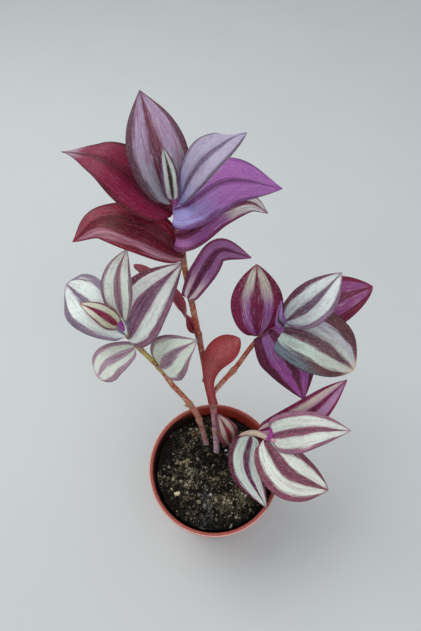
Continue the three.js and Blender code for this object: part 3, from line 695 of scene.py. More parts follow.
def soil_material():
    """Peat: tone from 0 to 1 goes from the black crumbs to the pale dry ones, and part of it is
    painted light and shade, as the darkening towards the wall. In a streak towards the front it is
    grey instead of brown."""
    g = Graph("peat", Roughness=0.95, Specular_IOR_Level=0.25)
    tone = g.node("Attribute", attribute_name="tone", output="Fac")
    grain = g.noise(g.place(), 1500.0, 5.0, 0.7)
    patch = g.noise(g.place(), 90.0, 3.0, 0.6)
    mixed = tone + (grain - 0.5) * 2.2 + (patch - 0.5) * 0.9
    peat, ash = g.ramp(mixed, PEAT_TONES, PEAT), g.ramp(mixed, PEAT_TONES, ASH)
    x, y, _ = g.parts(g.place())
    aside = g.math("ABSOLUTE", x + 0.0045 + (patch - 0.5) * 0.016)
    streak = g.step(aside, 0.0055, 0.002) * g.step(y, -0.012, -0.018)
    return g.finish(g.mix(streak * 0.8 + 0.1, peat, ash), grain, 0.8, 0.0006)


def bit_material(name, colour, dark, rough=0.7):
    g = Graph(name, Roughness=rough)
    grain = g.noise(g.place(), 1800.0, 4.0, 0.7)
    return g.finish(g.lay(tint(dark), tint(colour), grain, 0.35, 0.7), grain, 0.6, 0.0003)


def pot_material():
    """Moulded plastic with dust and splashes of peat, thicker on the inner wall near the soil, where
    the near black is partly painted shade. The inner wall is painted darker as shade except on its
    lit side at the back right, the groove on the rim is painted darker as shade, and the top and
    outer edge of the rim are painted paler, partly dust and wear and partly painted highlight.
    """
    g = Graph("pot plastic", Specular_IOR_Level=0.45)
    top, rim = POT["height"] * MM, POT["rim_radius"] * MM
    x, y, z = g.parts(g.place())
    v = g.uv()[1]
    broad = g.noise(g.place(), 60.0, 4.0, 0.6)
    dust = g.noise(g.place(), 900.0, 4.0, 0.7)
    grit = g.noise(g.place(), 2200.0, 2.0, 0.5)
    ragged = g.noise(g.place(), 260.0, 2.0, 0.6)
    colour = g.lay(tint((156, 62, 48)), tint((176, 78, 64)), broad, 0.3, 0.7)
    colour = g.lay(colour, tint((200, 144, 126)), dust, 0.5, 0.75, 0.5)

    flat = g.node("VectorMath", g.place(), (1.0, 1.0, 0.0), operation="MULTIPLY")
    radius = g.node("VectorMath", flat, operation="LENGTH", output="Value")
    middle = (POT["base_radius"] - POT["wall"] * 0.2) * MM
    over_rim = 0.4  # V where the surface has passed over the rim
    inside = g.step(radius - z * TAPER, middle + 0.0002, middle - 0.0002)
    inside = inside * g.step(v, over_rim, over_rim + 0.001)
    high = g.step(z, top - 0.001, top - 0.0004)
    sunk = g.step(z, top - 0.001, top - 0.0008) * g.step(z, top - 0.0001, top - 0.0004)
    ring = g.step(radius, rim - 0.0016, rim - 0.0013) * g.step(radius, rim - 0.0005, rim - 0.0008)
    # The top of the rim is painted paler, partly dust and partly painted highlight, and its outer edge
    # paler still, partly wear and partly painted highlight.
    edge_wear_and_highlight = high * g.step(radius, rim - 0.001, rim - 0.0006) * g.step(dust, 0.34, 0.62, 0.45, 1.0)
    colour = g.mix(high * g.step(dust, 0.4, 0.7, 0.1, 0.6), colour, tint((204, 126, 112)))
    colour = g.mix(edge_wear_and_highlight, colour, tint((222, 172, 158)))
    # Painted shade in the groove on the rim's top.
    colour = g.mix(sunk * ring * 0.9, colour, tint((104, 40, 34)))

    # Painted light and shade on the inner wall: dark red where it is in shade, brick red on its lit side
    # at the back right.
    lit_side = g.step(x * 14.0 + y * 22.0 + broad * 0.6, 0.55, 1.15)
    line = z + lit_side * 0.013 + (dust - 0.5) * 0.012 + (ragged - 0.5) * 0.01
    # Near the soil the inner wall goes nearly black, partly splashes of peat and partly painted shade,
    # reaching less high on the lit side.
    peat_splash_and_shade = inside * g.step(line, top + 0.0055, top + 0.0005) * g.step(grit, 0.36, 0.46, 0.75, 1.0)
    colour = g.mix(inside * 0.75, colour, g.mix(lit_side, tint((118, 30, 22)), tint((178, 58, 38))))
    colour = g.mix(peat_splash_and_shade, colour, tint((22, 15, 11)))
    g.roughen(dust, 0.3, 0.7, 0.38, 0.62)
    return g.finish(colour, dust + broad * 0.4, 0.15, 0.0003)


# Leaves
HAIR = hair_material()
YOUNG = sheath_material("young sheath", (172, 60, 150), (126, 34, 116))
YOUNG_REACH = 7.5  # leaves nearer to the tip than this have the bright sheaths
SHEATHS = {
    "main": sheath_material("sheath top", (152, 98, 84), (118, 58, 56)),
    "left": sheath_material("sheath left", (182, 160, 100), (160, 104, 82)),
    "right": sheath_material("sheath right", (158, 88, 100), (124, 50, 74)),
    "short": sheath_material("sheath short", (230, 208, 182), (196, 130, 150)),
}
SHEATH_LENGTH, SHEATH_MOUTH, SHEATH_WALL, SHEATH_FLARE = 5.5, 0.9, 0.14, 0.34
SHEATH_SIDES = 8  # the solid sheaths' bores are octagons round the stem
SHEATH_HAIRS = 16
WAVE = 0.035  # how far the margins wave, as a share of the half width
CREASE, CREASE_WIDTH = 0.22, 0.05  # how deep the midrib is sunk, and its share of the half width


def outline(part, spec):
    """Half width along the leaf, as a share of the widest: one power of the distance from the
    base times another of the distance from the point, scaled to 1 where it is widest."""
    blunt, pointed = spec["blunt"], spec["pointed"]
    widest = blunt / (blunt + pointed)
    return (part / widest) ** blunt * ((1 - part) / (1 - widest)) ** pointed


def blade_grid(spec, base, rng):
    """Points of a blade's middle surface and its normals, rows along and columns across. Each
    row starts at the midrib and rises by fold, less the curl, towards both margins, and
    its width follows the outline. The margins wave a little."""
    rib = Route([base, *spec["rib"]])
    part = (1 - np.cos(math.pi * np.linspace(0, 1, spec["rows"] + 1))) / 2
    middle, along = rib.place(part * rib.length)
    twist = smooth(part, 0, spec["twisted"])[:, None]
    up = np.array(spec.get("first", spec["up"]), float) * (1 - twist) + np.array(spec["up"], float) * twist
    up = unit(up - along * np.sum(up * along, axis=1, keepdims=True))
    right = np.cross(along, up)

    foot_half, fade = spec["stalk"]
    tip_half = spec["tip_half"]
    stalk = tip_half + (foot_half - tip_half) * (1 - part) ** fade
    half = (stalk + (spec["width"] / 2 - tip_half) * outline(part, spec))[:, None]
    fold = spec["fold"][0] + (spec["fold"][1] - spec["fold"][0]) * part
    columns = spec["columns"]
    middles = (np.arange(columns) + 0.5) / columns
    slopes = np.radians(fold[:, None] - spec["curl"] * middles)
    out, rise = (np.pad(np.cumsum(steps, axis=1) / columns, ((0, 0), (1, 0)))
                 for steps in (np.cos(slopes), np.sin(slopes)))
    reach = np.arange(columns + 1) / columns
    across = np.concatenate([-reach[:0:-1], reach])
    out = np.concatenate([-out[:, :0:-1], out], axis=1)
    rise = np.concatenate([rise[:, :0:-1], rise], axis=1)

    near_base = ((1 - part) ** 4 * (1 - np.exp(-(part * 15) ** 2)))[:, None]
    back = spec["lobe"] * across ** 2 * near_base
    phases, beats = rng.uniform(0, 6.3, 2), rng.uniform(1.6, 3.0, 2)
    waves = [np.sin(beat * 6.3 * part + phase)[:, None] for beat, phase in zip(beats, phases)]
    wave = WAVE * half * np.abs(across) ** 2.5 * np.where(across < 0, *waves)
    sunk = CREASE * np.exp(-(across / CREASE_WIDTH) ** 2)
    crease = sunk * smooth(part, 0.0, 0.1)[:, None] * (1 - part[:, None])
    lift = half * rise + wave - crease
    points = (middle[:, None] + right[:, None] * (half * out)[..., None]
              + up[:, None] * lift[..., None] - along[:, None] * back[..., None])
    normals = unit(np.cross(np.gradient(points, axis=1), np.gradient(points, axis=0)))
    facing = np.sum(normals * up[:, None], axis=-1, keepdims=True)
    return points, np.where(facing < 0, -normals, normals), part, across


def border(grid):
    """The points round a grid's border, in turn."""
    return np.concatenate([grid[0], grid[1:, -1], grid[-1, -2::-1], grid[-2:0:-1, 0]])


def leaf(name, seed):
    """A blade with an upper and a lower side, its thickness thinning to the margin and the
    point, and the sheath at its foot."""
    spec = BLADE | LEAVES[name]
    group = name.split("_")[0]
    carrier = CARRIERS[group]
    route = ROUTES[carrier]
    rng = np.random.default_rng(100 + seed)
    distance = route.length - spec["down"]
    axis, along = (array[0] for array in route.place(distance))
    toward = np.array(spec["side"], float) if "side" in spec else np.array(spec["rib"][0], float) - axis
    outward = unit(toward - along * np.dot(toward, along))
    bore = (stem_radius(carrier, distance) + GAP) / math.cos(math.pi / SHEATH_SIDES)
    points, normals, part, across = blade_grid(spec, axis + outward * (bore + 0.35), rng)
    margin = np.sqrt(np.clip(1 - (np.abs(across) / 1.02) ** 10, 0.03, 1))
    thick = (spec["thick"] / 2 * margin * (1 - 0.5 * part[:, None] ** 6))[..., None]
    upper, lower = points + normals * thick, points - normals * thick
    skin = Skin()
    skin.grid(upper, part)
    skin.grid(lower, part, back=True, lift=2.0)
    skin.grid(np.stack([border(lower), border(upper)]), [0.5, 0.5], wrap=True)
    sheath(skin, carrier, distance, outward, rng)
    wrap = YOUNG if spec["down"] < YOUNG_REACH else SHEATHS[group]
    blade = leaf_material(name, LOOKS[name], seed * 3.7)
    piece = skin.build(name + "_fine", [blade, wrap, HAIR], crease=50)
    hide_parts(name)


def sheath(skin, carrier, distance, outward, rng):
    """The membrane that wraps the stem below a blade: a thin tube whose mouth slants up to the
    blade and carries a fringe of hairs."""
    route = ROUTES[carrier]
    rows, sides = 14, 28
    runs = np.linspace(-SHEATH_LENGTH, SHEATH_MOUTH, rows)
    centres, along = route.place(distance + runs)
    flare = SHEATH_FLARE * smooth(runs, -SHEATH_LENGTH, SHEATH_MOUTH)
    radius = stem_radius(carrier, distance + runs) + SHEATH_WALL + flare
    outer = rings(centres, along, radius, sides, first=outward)
    angles = turns(sides)
    slant = 0.9 * np.cos(angles) + 0.25 * np.sin(3 * angles + rng.uniform(0, 6))
    share = smooth(runs, -2.5, SHEATH_MOUTH)[:, None]
    outer = outer + along[:, None] * (share * slant)[..., None]
    inner = outer - (outer - centres[:, None]) * (SHEATH_WALL / radius)[:, None, None]
    skin.sleeve(outer, inner, (runs + SHEATH_LENGTH) / (SHEATH_LENGTH + SHEATH_MOUTH), 1, ends=(0, 1))
    for angle in rng.uniform(0, 2 * math.pi, SHEATH_HAIRS):
        root = outer[-1, int(angle / (2 * math.pi) * sides) % sides]
        away = unit(root - centres[-1])
        lean = unit(along[-1] * 1.2 + away * rng.uniform(0.3, 1.0) + rng.normal(0, 0.25, 3))
        bent = unit(lean + away * 0.5)
        length = rng.uniform(0.7, 1.5)
        knee = root + lean * length * 0.5
        path = np.stack([root - lean * 0.1, knee, knee + bent * length * 0.5])
        hair = rings(path, np.stack([lean, lean, bent]), np.array([0.035, 0.028, 0.008]), 3)
        skin.grid(hair, [0, 0.5, 1], wrap=True, slot=2, caps=True)


for number, leaf_name in enumerate(LEAVES):
    leaf(leaf_name, number + 1)


# Stems
# Places along each stem, from its buried end, and its colour there as 0-255 screen values
STEM_LOOKS = {
    "main_stem": [(0.0, (140, 112, 118)), (0.1, (190, 158, 174)), (0.27, (180, 118, 134)),
                  (0.38, (174, 82, 54)), (0.62, (162, 64, 34)), (0.8, (152, 84, 46)),
                  (1.0, (148, 118, 62))],
    "left_stem": [(0.0, (116, 88, 86)), (0.15, (160, 116, 116)), (0.34, (176, 112, 100)),
                  (0.55, (182, 94, 50)), (0.7, (176, 106, 52)), (0.78, (192, 178, 86)),
                  (1.0, (196, 184, 108))],
    "right_shoot": [(0.0, (178, 84, 60)), (0.3, (188, 86, 48)), (0.6, (178, 76, 40)),
                    (0.85, (178, 112, 96)), (1.0, (180, 96, 136))],
    "short_stem": [(0.0, (110, 84, 78)), (0.3, (136, 92, 88)), (0.5, (212, 172, 156)),
                   (0.7, (240, 226, 192)), (0.9, (240, 230, 198)), (1.0, (206, 150, 176))],
}
HUSK = bit_material("husk", (196, 164, 128), (150, 104, 78), rough=0.75)
PAPER = bit_material("paper husk", (242, 232, 206), (206, 176, 156))
HUSK_WALL, HUSK_LENGTH = 0.09, 2.6
PAPER_HUSKS = ((53, 5.5), (59, 5.0), (65, 4.5))  # distance along the short stem, length
RED_STREAKS, PALE_STREAKS = (112, 40, 36), (206, 150, 132)
STEM_SIDES, STEM_SPACING, STEM_END = 28, 0.7, 1.2
JOINT, JOINT_REACH = 0.12, 1.4  # the swelling below each sheath
STEM_RIBS, RIB_SHARE, UNEVEN = 9, 0.018, 0.09


def stem_surface(skin, name, seed, slot):
    """Rings along a stem, its radius swelling at the nodes and at each leaf, with faint ribs
    between them, drawn in to a blunt tip."""
    route = ROUTES[name]
    group = next(key for key, carrier in CARRIERS.items() if carrier == name)
    distances = np.linspace(0, route.length + STEM_END, int(route.length / STEM_SPACING))
    centres, along = route.place(distances)
    radius = stem_radius(name, np.minimum(distances, route.length))
    for leaf_name, spec in LEAVES.items():
        if leaf_name.startswith(group):
            low = route.length - spec["down"] - SHEATH_LENGTH
            radius = radius + JOINT * np.exp(-((distances - low) / JOINT_REACH) ** 2)
    radius = radius * np.sqrt(np.clip(1 - ((distances - route.length + 1.5) / 2.8).clip(0) ** 2, 0.01, 1))
    ribs = 1 + RIB_SHARE * np.cos(STEM_RIBS * turns(STEM_SIDES) + seed)[None] + 0 * distances[:, None]
    grid = rings(centres, along, radius, STEM_SIDES, shape=ribs)
    uneven = lumps(grid + seed * 11, 2.2, 3)[..., None]
    grid = grid + unit(grid - centres[:, None]) * uneven * UNEVEN
    grid[0] = centres[0]
    grid[-1] = centres[-1]
    skin.grid(grid, distances / route.length, wrap=True, slot=slot)


def husk(skin, name, distance, length, rng, slot):
    """The dry torn rest of an old sheath round a node: a thin tube that widens upwards and
    whose mouth is cut back by a sine and a random share."""
    sides, rows = 36, 7
    runs = np.linspace(-0.4, length, rows)
    centres, along = ROUTES[name].place(distance + runs)
    radius = stem_radius(name, distance + runs) + 0.1 + 0.25 * smooth(runs, 0, length)
    grid = rings(centres, along, radius, sides)
    torn = 1 - 0.7 * np.abs(np.sin(2.5 * turns(sides) + rng.uniform(0, 6))) * rng.uniform(0.5, 1.0, sides)
    share = np.linspace(0, 1, rows)[:, None]
    grid = grid - along[:, None] * (share * (1 - torn) * length)[..., None]
    inner = grid - (grid - centres[:, None]) * (HUSK_WALL / radius)[:, None, None]
    skin.sleeve(grid, inner, runs, slot)


def spur(skin, name, distance, side, length, slot, radius=1.05, lift=1.0):
    """A dormant bud at a node, or a young sheath still rolled up: a short cone that leans out
    to side, and along the stem by lift."""
    centre, along = (array[0] for array in ROUTES[name].place(distance))
    out = unit(np.array(side, float) - along * np.dot(side, along))
    start = centre + out * stem_radius(name, distance) * 0.6
    lean = unit(out * 0.8 + along * lift)
    steps = np.linspace(0, 1, 13)
    path = start + lean * (steps * length)[:, None] + along * (0.08 * length * steps ** 2)[:, None]
    swell = radius * np.sqrt(np.clip(1 - steps ** 2, 0.0001, 1))
    grid = rings(path, np.broadcast_to(lean, path.shape), swell, 14)
    skin.grid(grid, steps, wrap=True, slot=slot, caps=True)


def stems():
    rng = np.random.default_rng(5)
    for number, name in enumerate(["main_stem", "left_stem", "short_stem"]):
        skin = Skin()
        streaks = PALE_STREAKS if name == "short_stem" else RED_STREAKS
        materials = [stem_material(name, number * 2.1, streaks), HUSK]
        nodes = STEMS[name]["nodes"]
        stem_surface(skin, name, number * 1.7, slot=0)
        for node in nodes:
            husk(skin, name, node, HUSK_LENGTH, rng, slot=1)
        if name == "main_stem":
            materials.append(stem_material("right_shoot", 8.3, RED_STREAKS))
            stem_surface(skin, "right_shoot", 5.1, slot=2)
            husk(skin, "right_shoot", STEMS["right_shoot"]["nodes"][0], 2.2, rng, slot=1)
            spur(skin, name, nodes[1], (-0.6, -0.7, 0.2), 4.0, slot=2)
        if name == "left_stem":
            spur(skin, name, nodes[1], (-0.8, -0.5, 0.1), 3.5, slot=0)
        if name == "short_stem":
            materials += [PAPER, YOUNG]
            for distance, length in PAPER_HUSKS:
                husk(skin, name, distance, length, rng, slot=2)
            spur(skin, name, 71, (0.1, 0.9, 0.8), 13.0, slot=3, radius=1.5, lift=-0.1)
        piece = skin.build(name + "_fine", materials, crease=60)
        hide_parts(name)


stems()


# Soil
SOIL_EDGE = pot_inner(SOIL["level"] - SOIL["dish"]) - GAP
BANK = 4.2  # how high the peat is banked up against the wall
CRUMBS, ROOT_HAIRS = 4200, 90
SOIL_SIDES, SOIL_RINGS = 420, 150


def soil_height(x, y):
    """The peat's height: a shallow dome, broad swells as in the solid, clods on three scales,
    and a bank against the left and front of the wall."""
    outward = np.hypot(x, y) / SOIL_EDGE
    coarse = np.sin((x - y) / 7.7) + np.sin(x / 5.1 + 1) * np.cos(y / 4.3)
    flat = np.stack([x, y, 0 * x], axis=-1)
    clods = 1.3 * lumps(flat, 7.0, 2) + 1.5 * np.abs(lumps(flat + 40, 2.6, 3))
    clods = clods + 0.5 * lumps(flat + 90, 1.1, 2)
    banked = BANK * smooth(outward, 0.78, 1.0) * smooth(-0.85 * x - 0.5 * y, -8, 22)
    return (SOIL["level"] - SOIL["dish"] * outward ** 3 + SOIL["relief"] * coarse / 2 * (1 - outward ** 6)
            + clods - 0.6 + banked)


# Paler and darker patches of the peat, partly its own dry and moist spots and partly painted light
# and shade, as the dark patches by the left and front of the wall, which are painted shadow: x, y,
# reach, how much paler
PATCHES = [(-20, 3, 7, 0.14), (-14, -9, 9, 0.12), (-4, -24, 6, 0.18), (6, -22, 8, 0.16),
           (17, -23, 9, 0.2), (-8, 26, 6, 0.12), (-24, -14, 6, 0.06), (-3, 6, 6, -0.2), (4, -1, 5, -0.14),
           (-10, 5, 3, -0.14), (-36, 14, 8, -0.14), (-28, -26, 6, -0.12), (0, -37, 6, -0.08),
           (-34, 3, 5, -0.1), (9, 6, 5, -0.14), (22, 24, 12, -0.08)]


def soil_tone(x, y):
    """How pale the peat is at a place: its patches, partly its own dry and moist spots and partly painted
    light and shade, and painted shade that darkens it towards the wall.
    """
    # Painted shade: the peat darkens towards the wall.
    tone = 0.2 - 0.12 * smooth(np.hypot(x, y), 28, 40)
    for at_x, at_y, reach, paler in PATCHES:
        tone = tone + paler * np.exp(-((x - at_x) ** 2 + (y - at_y) ** 2) / reach ** 2)
    return tone


def lump_shape(level):
    ball = bmesh.new()
    bmesh.ops.create_icosphere(ball, subdivisions=level, radius=1)
    points = np.array([vertex.co[:] for vertex in ball.verts])
    faces = np.array([[vertex.index for vertex in face.verts] for face in ball.faces])
    ball.free()
    return points, faces


def turned_at_random(rng):
    q, _ = np.linalg.qr(rng.normal(size=(3, 3)))
    return q


def soil():
    """The peat's body: its top is the height above worked out on rings from the wall to the
    middle, closed by the cone and the flat floor below it."""
    floor_height = POT["rise"] + POT["wall"] + GAP
    angles = turns(SOIL_SIDES)
    radii = SOIL_EDGE * (1 - np.linspace(0, 1, SOIL_RINGS) * 0.999)
    x, y = radii[:, None] * np.cos(angles), radii[:, None] * np.sin(angles)
    top = np.stack([x, y, soil_height(x, y)], axis=-1)
    low = pot_inner(floor_height) - GAP
    foot = np.stack([low * np.cos(angles), low * np.sin(angles), 0 * angles + floor_height], axis=-1)
    grid = np.concatenate([(foot * [0.01, 0.01, 1])[None], foot[None], top])
    flat = grid * [1, 1, 0]
    tones = soil_tone(grid[..., 0], grid[..., 1]) + 0.8 * lumps(flat, 2.2, 4)
    tones = tones + 0.2 * lumps(flat + 17, 14.0, 2)
    skin = Skin()
    skin.grid(grid, np.linspace(0, 1, len(grid)), wrap=True, tone=tones.ravel(), caps=True)
    piece = skin.build("soil_fine", [SOIL_LOOK])
    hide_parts("soil")


def crumbs():
    """Loose crumbs, each a ball pulled out of round by noise, and short root hairs on the peat."""
    rng = np.random.default_rng(21)
    skin = Skin()
    ball, ball_faces = lump_shape(1)
    for _ in range(CRUMBS):
        radius = (SOIL_EDGE - 0.8) * math.sqrt(rng.uniform())
        angle = rng.uniform(0, 2 * math.pi)
        px, py = radius * math.cos(angle), radius * math.sin(angle)
        size = min(2.0, 0.2 + rng.lognormal(-1.25, 0.8))
        warp = 1 + 0.35 * lumps(ball * 2 + rng.uniform(0, 30, 3), 1.3, 2)[:, None]
        shape = (ball * warp * [1, rng.uniform(0.6, 1), rng.uniform(0.4, 0.8)]) @ turned_at_random(rng).T
        pz = soil_height(np.array(px), np.array(py)) + size * 0.15
        skin.add(shape * size + [px, py, pz], ball_faces, tone=soil_tone(px, py) + rng.normal(0.04, 0.34))
    for _ in range(ROOT_HAIRS):
        radius, angle = (SOIL_EDGE - 3) * math.sqrt(rng.uniform()), rng.uniform(0, 2 * math.pi)
        walk = [np.array([radius * math.cos(angle), radius * math.sin(angle)])]
        heading, bend = rng.uniform(0, 6.3), rng.normal(0, 0.3)
        length = rng.uniform(1.2, 4.0)
        for _step in range(7):
            heading += bend * 0.5 + rng.normal(0, 0.12)
            walk.append(walk[-1] + np.array([math.cos(heading), math.sin(heading)]) * length / 7)
        walk = np.array(walk)
        walk *= np.minimum(1, (SOIL_EDGE - 1.5) / np.linalg.norm(walk, axis=1))[:, None]
        path = np.column_stack([walk, soil_height(walk[:, 0], walk[:, 1]) + rng.uniform(0.0, 0.25)])
        radii = rng.uniform(0.05, 0.12) * np.array([0.3, 0.9, 1, 1, 1, 0.9, 0.7, 0.2])
        root = rings(path, unit(np.gradient(path, axis=0)), radii, 5)
        skin.grid(root, np.linspace(0, 1, 8), wrap=True, tone=rng.uniform(0.3, 0.75), caps=True)
    piece = skin.build("soil_crumbs", [SOIL_LOOK])


# Grains and scraps on the peat: x, y, size, flatness, kind
BITS = [(8.8, 12.8, 1.15, 0.9, "white"), (9.6, 9.6, 0.6, 0.9, "white"), (-25.5, -16.6, 2.3, 0.6, "seed"),
        (-15.5, 24.3, 1.3, 0.8, "orange"), (-31.9, 22.4, 1.2, 0.5, "magenta"),
        (-29.6, -13.6, 0.8, 0.6, "seed"), (-24.0, 3.8, 1.5, 0.35, "olive"),
        (-21.6, 4.8, 1.7, 0.35, "olive"), (-18.8, 5.9, 1.6, 0.4, "olive"), (-32.0, -6.6, 1.3, 0.5, "ash"),
        (-6.0, -12.0, 1.3, 0.6, "ash"), (-1.5, -13.5, 1.1, 0.6, "ash"), (12.0, -29.0, 0.7, 0.8, "pale"),
        (25.0, -17.0, 0.6, 0.8, "pale"), (-19.0, 3.0, 1.1, 0.5, "tan"), (-16.5, 4.5, 0.9, 0.5, "tan"),
        (1.5, -7.5, 0.7, 0.7, "tan"), (17.0, -26.0, 0.9, 0.6, "tan"), (5.0, -33.0, 0.6, 0.7, "tan"),
        (-8.0, 17.0, 0.6, 0.7, "pale"), (-2.0, 30.0, 0.7, 0.7, "tan"), (20.0, 27.0, 0.9, 0.6, "tan"),
        (24.0, 22.0, 0.6, 0.7, "pale")]
# Colour and darker colour of each kind
BIT_LOOKS = {"white": ((226, 224, 216), (190, 186, 176)), "pale": ((196, 188, 164), (146, 134, 108)),
             "orange": ((176, 116, 60), (120, 70, 34)), "magenta": ((128, 34, 62), (84, 22, 42)),
             "tan": ((142, 124, 92), (96, 80, 56)), "seed": ((232, 222, 182), (198, 184, 140)),
             "olive": ((158, 146, 106), (96, 84, 54)), "ash": ((108, 102, 94), (52, 48, 44))}
# Points of the pale root fibres, with their height over the peat
FIBRES = [[[-4.2, -25, 0], [-1.8, -20.5, 1.6], [2.5, -19, 1.8], [6.5, -21.5, 1.0], [8.5, -26, -0.2]],
          [[-12, -6, 0], [-8, -3, 1.0], [-5, -5, 1.1], [-4, -9, 0]],
          [[16, -14, 0], [19, -18, 0.9], [18, -23, 0.8], [14, -26, 0]]]


def bits():
    """Perlite, seeds and scraps that lie on the peat, and the pale root fibres that arch over it."""
    rng = np.random.default_rng(3)
    names = list(BIT_LOOKS)
    skin = Skin()
    ball, faces = lump_shape(2)
    for x, y, size, flat, kind in BITS:
        warp = 1 + 0.22 * lumps(ball * 2 + rng.uniform(0, 30, 3), 1.4, 2)[:, None]
        turn = rng.uniform(0, 6.3)
        c, s = math.cos(turn), math.sin(turn)
        shape = (ball * warp * [1, 0.72, flat]) @ np.array([[c, -s, 0], [s, c, 0], [0, 0, 1]]).T
        around = ((0, 0), (1, 0), (-1, 0), (0, 1), (0, -1))
        z = max(soil_height(np.array(x + dx), np.array(y + dy)) for dx, dy in around) + size * flat * 0.4
        skin.add(shape * size + [x, y, z], faces, slot=names.index(kind))
    for points in FIBRES:
        path = np.array(points, float)
        path[:, 2] += soil_height(path[:, 0], path[:, 1])
        fibre = Route(path)
        centres, along = fibre.place(np.linspace(0, fibre.length, 40))
        radius = 0.16 * np.sqrt(np.clip(1 - np.linspace(-1, 1, 40) ** 8, 0.02, 1))
        root = rings(centres, along, radius, 8)
        skin.grid(root, np.linspace(0, 1, 40), wrap=True, slot=names.index("tan"), caps=True)
    piece = skin.build("soil_bits", [bit_material("bit " + kind, *BIT_LOOKS[kind]) for kind in names])


SOIL_LOOK = soil_material()
soil()
crumbs()
bits()


# Pot
POT_SIDES, HOLE_SIDES, CORNER_POINTS, LONGEST = 160, 28, 6, 4


def pot_profile():
    """The pot's section as points of radius and height, from the middle of its base up the
    outside, over the rim and down the inside. Each corner is rounded by a parabola, and long
    stretches are divided."""
    p = POT
    collar = p["height"] - p["lip"] - p["collar_height"]
    foot = p["base_radius"] - p["foot_width"]
    step, rise, wall, disc = p["collar_step"], p["rise"], p["wall"], p["disc_radius"]
    edge, lip, rim, top = p["edge"], p["lip"], p["rim_radius"], p["height"]
    corners = [  # radius, height, rounding
        (0.02, 0, 0), (disc, 0, 0.5), (disc + rise, rise, 0.5), (foot - rise, rise, 0.5), (foot, 0, 0.5),
        (p["base_radius"] + TAPER * 0.4, 0, edge), (pot_outer(collar - step), collar - step, 0.4),
        (pot_outer(collar) + step, collar, 0.4), (pot_outer(top - lip) + step, top - lip, 0.3),
        (rim, top - lip, edge * 0.9), (rim, top, edge * 0.7), (rim - lip * 0.36, top, 0.15),
        (rim - lip * 0.46, top - 0.5, 0.15), (rim - lip * 0.56, top - 0.02, 0.15),
        (rim - lip + edge / 2, top - 0.05, 0.35), (pot_inner(top) + edge / 2, top - lip, 0.5),
        (pot_inner(wall), wall, edge), (foot + wall, wall, 0.4), (foot + wall - rise, rise + wall, 0.4),
        (disc - wall + rise, rise + wall, 0.4), (disc - wall, wall, 0.4), (0.02, wall, 0),
    ]
    profile = []
    for index, (radius, height, rounding) in enumerate(corners):
        here = np.array([radius, height])
        if rounding == 0:
            profile.append(here)
            continue
        start, end = (here + unit(other - here) * min(rounding, np.linalg.norm(other - here) * 0.45)
                      for other in (np.array(corners[index + way][:2]) for way in (-1, 1)))
        for t in np.linspace(0, 1, CORNER_POINTS):
            profile.append((1 - t) ** 2 * start + 2 * t * (1 - t) * here + t * t * end)
    dense = [profile[0]]
    for a, b in zip(profile, profile[1:]):
        pieces = max(1, int(np.linalg.norm(b - a) / LONGEST))
        dense += [a + (b - a) * (k + 1) / pieces for k in range(pieces)]
    return np.array(dense)


def drain_cutter():
    """A rod for each drain hole, in a circle between the base's disc and its foot."""
    skin = Skin()
    middle = (POT["disc_radius"] + POT["base_radius"] - POT["foot_width"]) / 2
    around = turns(HOLE_SIDES, 0.37)
    circle = np.stack([np.cos(around), np.sin(around), 0 * around], axis=-1)
    size = POT["hole_radius"]
    for angle in turns(POT["holes"], 0.5):
        at = np.array([middle * math.cos(angle), middle * math.sin(angle), 0])
        tube = [at + circle * r + [0, 0, h] for r, h in ((0.001, -2), (size, -2), (size, 6), (0.001, 6))]
        skin.grid(np.array(tube), [0, 0, 0, 0], wrap=True, caps=True)
    return skin.build("drain_cutter", [])


def pot():
    """The pot's wall turned about its axis from its profile, with its drain holes cut through
    the base."""
    profile = pot_profile()
    run = run_along(profile)
    angles = turns(POT_SIDES)
    x, y = profile[:, :1] * np.cos(angles), profile[:, :1] * np.sin(angles)
    skin = Skin()
    grid = np.stack([x, y, np.broadcast_to(profile[:, 1:], x.shape)], axis=-1)
    skin.grid(grid, run / run[-1], wrap=True, caps=True)
    piece = skin.build("pot_fine", [pot_material()])
    cutter = drain_cutter()
    cut = piece.modifiers.new("drain", "BOOLEAN")
    cut.object = cutter
    cut.operation = "DIFFERENCE"
    cut.solver = "EXACT"
    applied = bpy.data.meshes.new_from_object(piece.evaluated_get(bpy.context.evaluated_depsgraph_get()))
    piece.modifiers.clear()
    piece.data = applied
    bpy.data.objects.remove(cutter)
    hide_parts("pot")


pot()


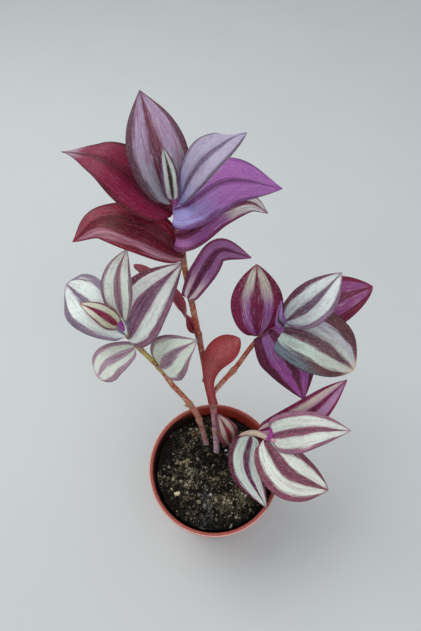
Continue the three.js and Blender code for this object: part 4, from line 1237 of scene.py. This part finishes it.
# Stage
def floor_material():
    g = Graph("floor", Roughness=0.75)
    broad = g.noise(g.place(), 6.0, 4.0)
    return g.finish(g.mix(broad, tint((198, 202, 202)), tint((206, 209, 208))))


FLOOR_REACH = 3.0
floor_mesh = bpy.data.meshes.new("floor")
square = [(x * FLOOR_REACH, y * FLOOR_REACH, 0) for x, y in ((-1, -1), (1, -1), (1, 1), (-1, 1))]
floor_mesh.from_pydata(square, [], [(0, 1, 2, 3)])
floor_mesh.materials.append(floor_material())
floor = bpy.data.objects.new("floor", floor_mesh)
bpy.context.scene.collection.objects.link(floor)


def lamp(name, place, target, size, energy, colour):
    light = bpy.data.lights.new(name, "AREA")
    light.shape = "DISK"
    light.size = size
    light.energy = energy
    light.color = colour
    lamp_object = bpy.data.objects.new(name, light)
    lamp_object.location = place
    direction = Vector(target) - Vector(place)
    lamp_object.rotation_euler = direction.to_track_quat("-Z", "Y").to_euler()
    bpy.context.scene.collection.objects.link(lamp_object)


PLANT = (0, 0.03, 0.15)
lamp("key", place=(-0.55, 0.35, 1.15), target=PLANT, size=0.9, energy=7.0, colour=(1.0, 0.99, 0.97))
lamp("fill", place=(0.7, -0.7, 0.9), target=PLANT, size=1.2, energy=2.5, colour=(0.95, 0.98, 1.0))

world = bpy.data.worlds.new("sky")
world.use_nodes = True
background = world.node_tree.nodes["Background"]
background.inputs["Color"].default_value = (0.86, 0.9, 0.94, 1.0)
background.inputs["Strength"].default_value = 0.67
bpy.context.scene.world = world
bpy.context.scene.view_settings.view_transform = "Standard"

SENSOR, PICTURE_HEIGHT, FOCAL = 36, 631, 421  # the sensor in mm, the others in pixels
camera_data = bpy.data.cameras.new("camera")
camera_data.sensor_width = SENSOR
camera_data.lens = FOCAL * SENSOR / PICTURE_HEIGHT
camera_data.clip_start = 0.01
camera = bpy.data.objects.new("camera", camera_data)
camera.location = (-0.0025, -0.088, 0.375)
camera.rotation_euler = (math.radians(36), 0, 0)
bpy.context.scene.collection.objects.link(camera)
bpy.context.scene.camera = camera
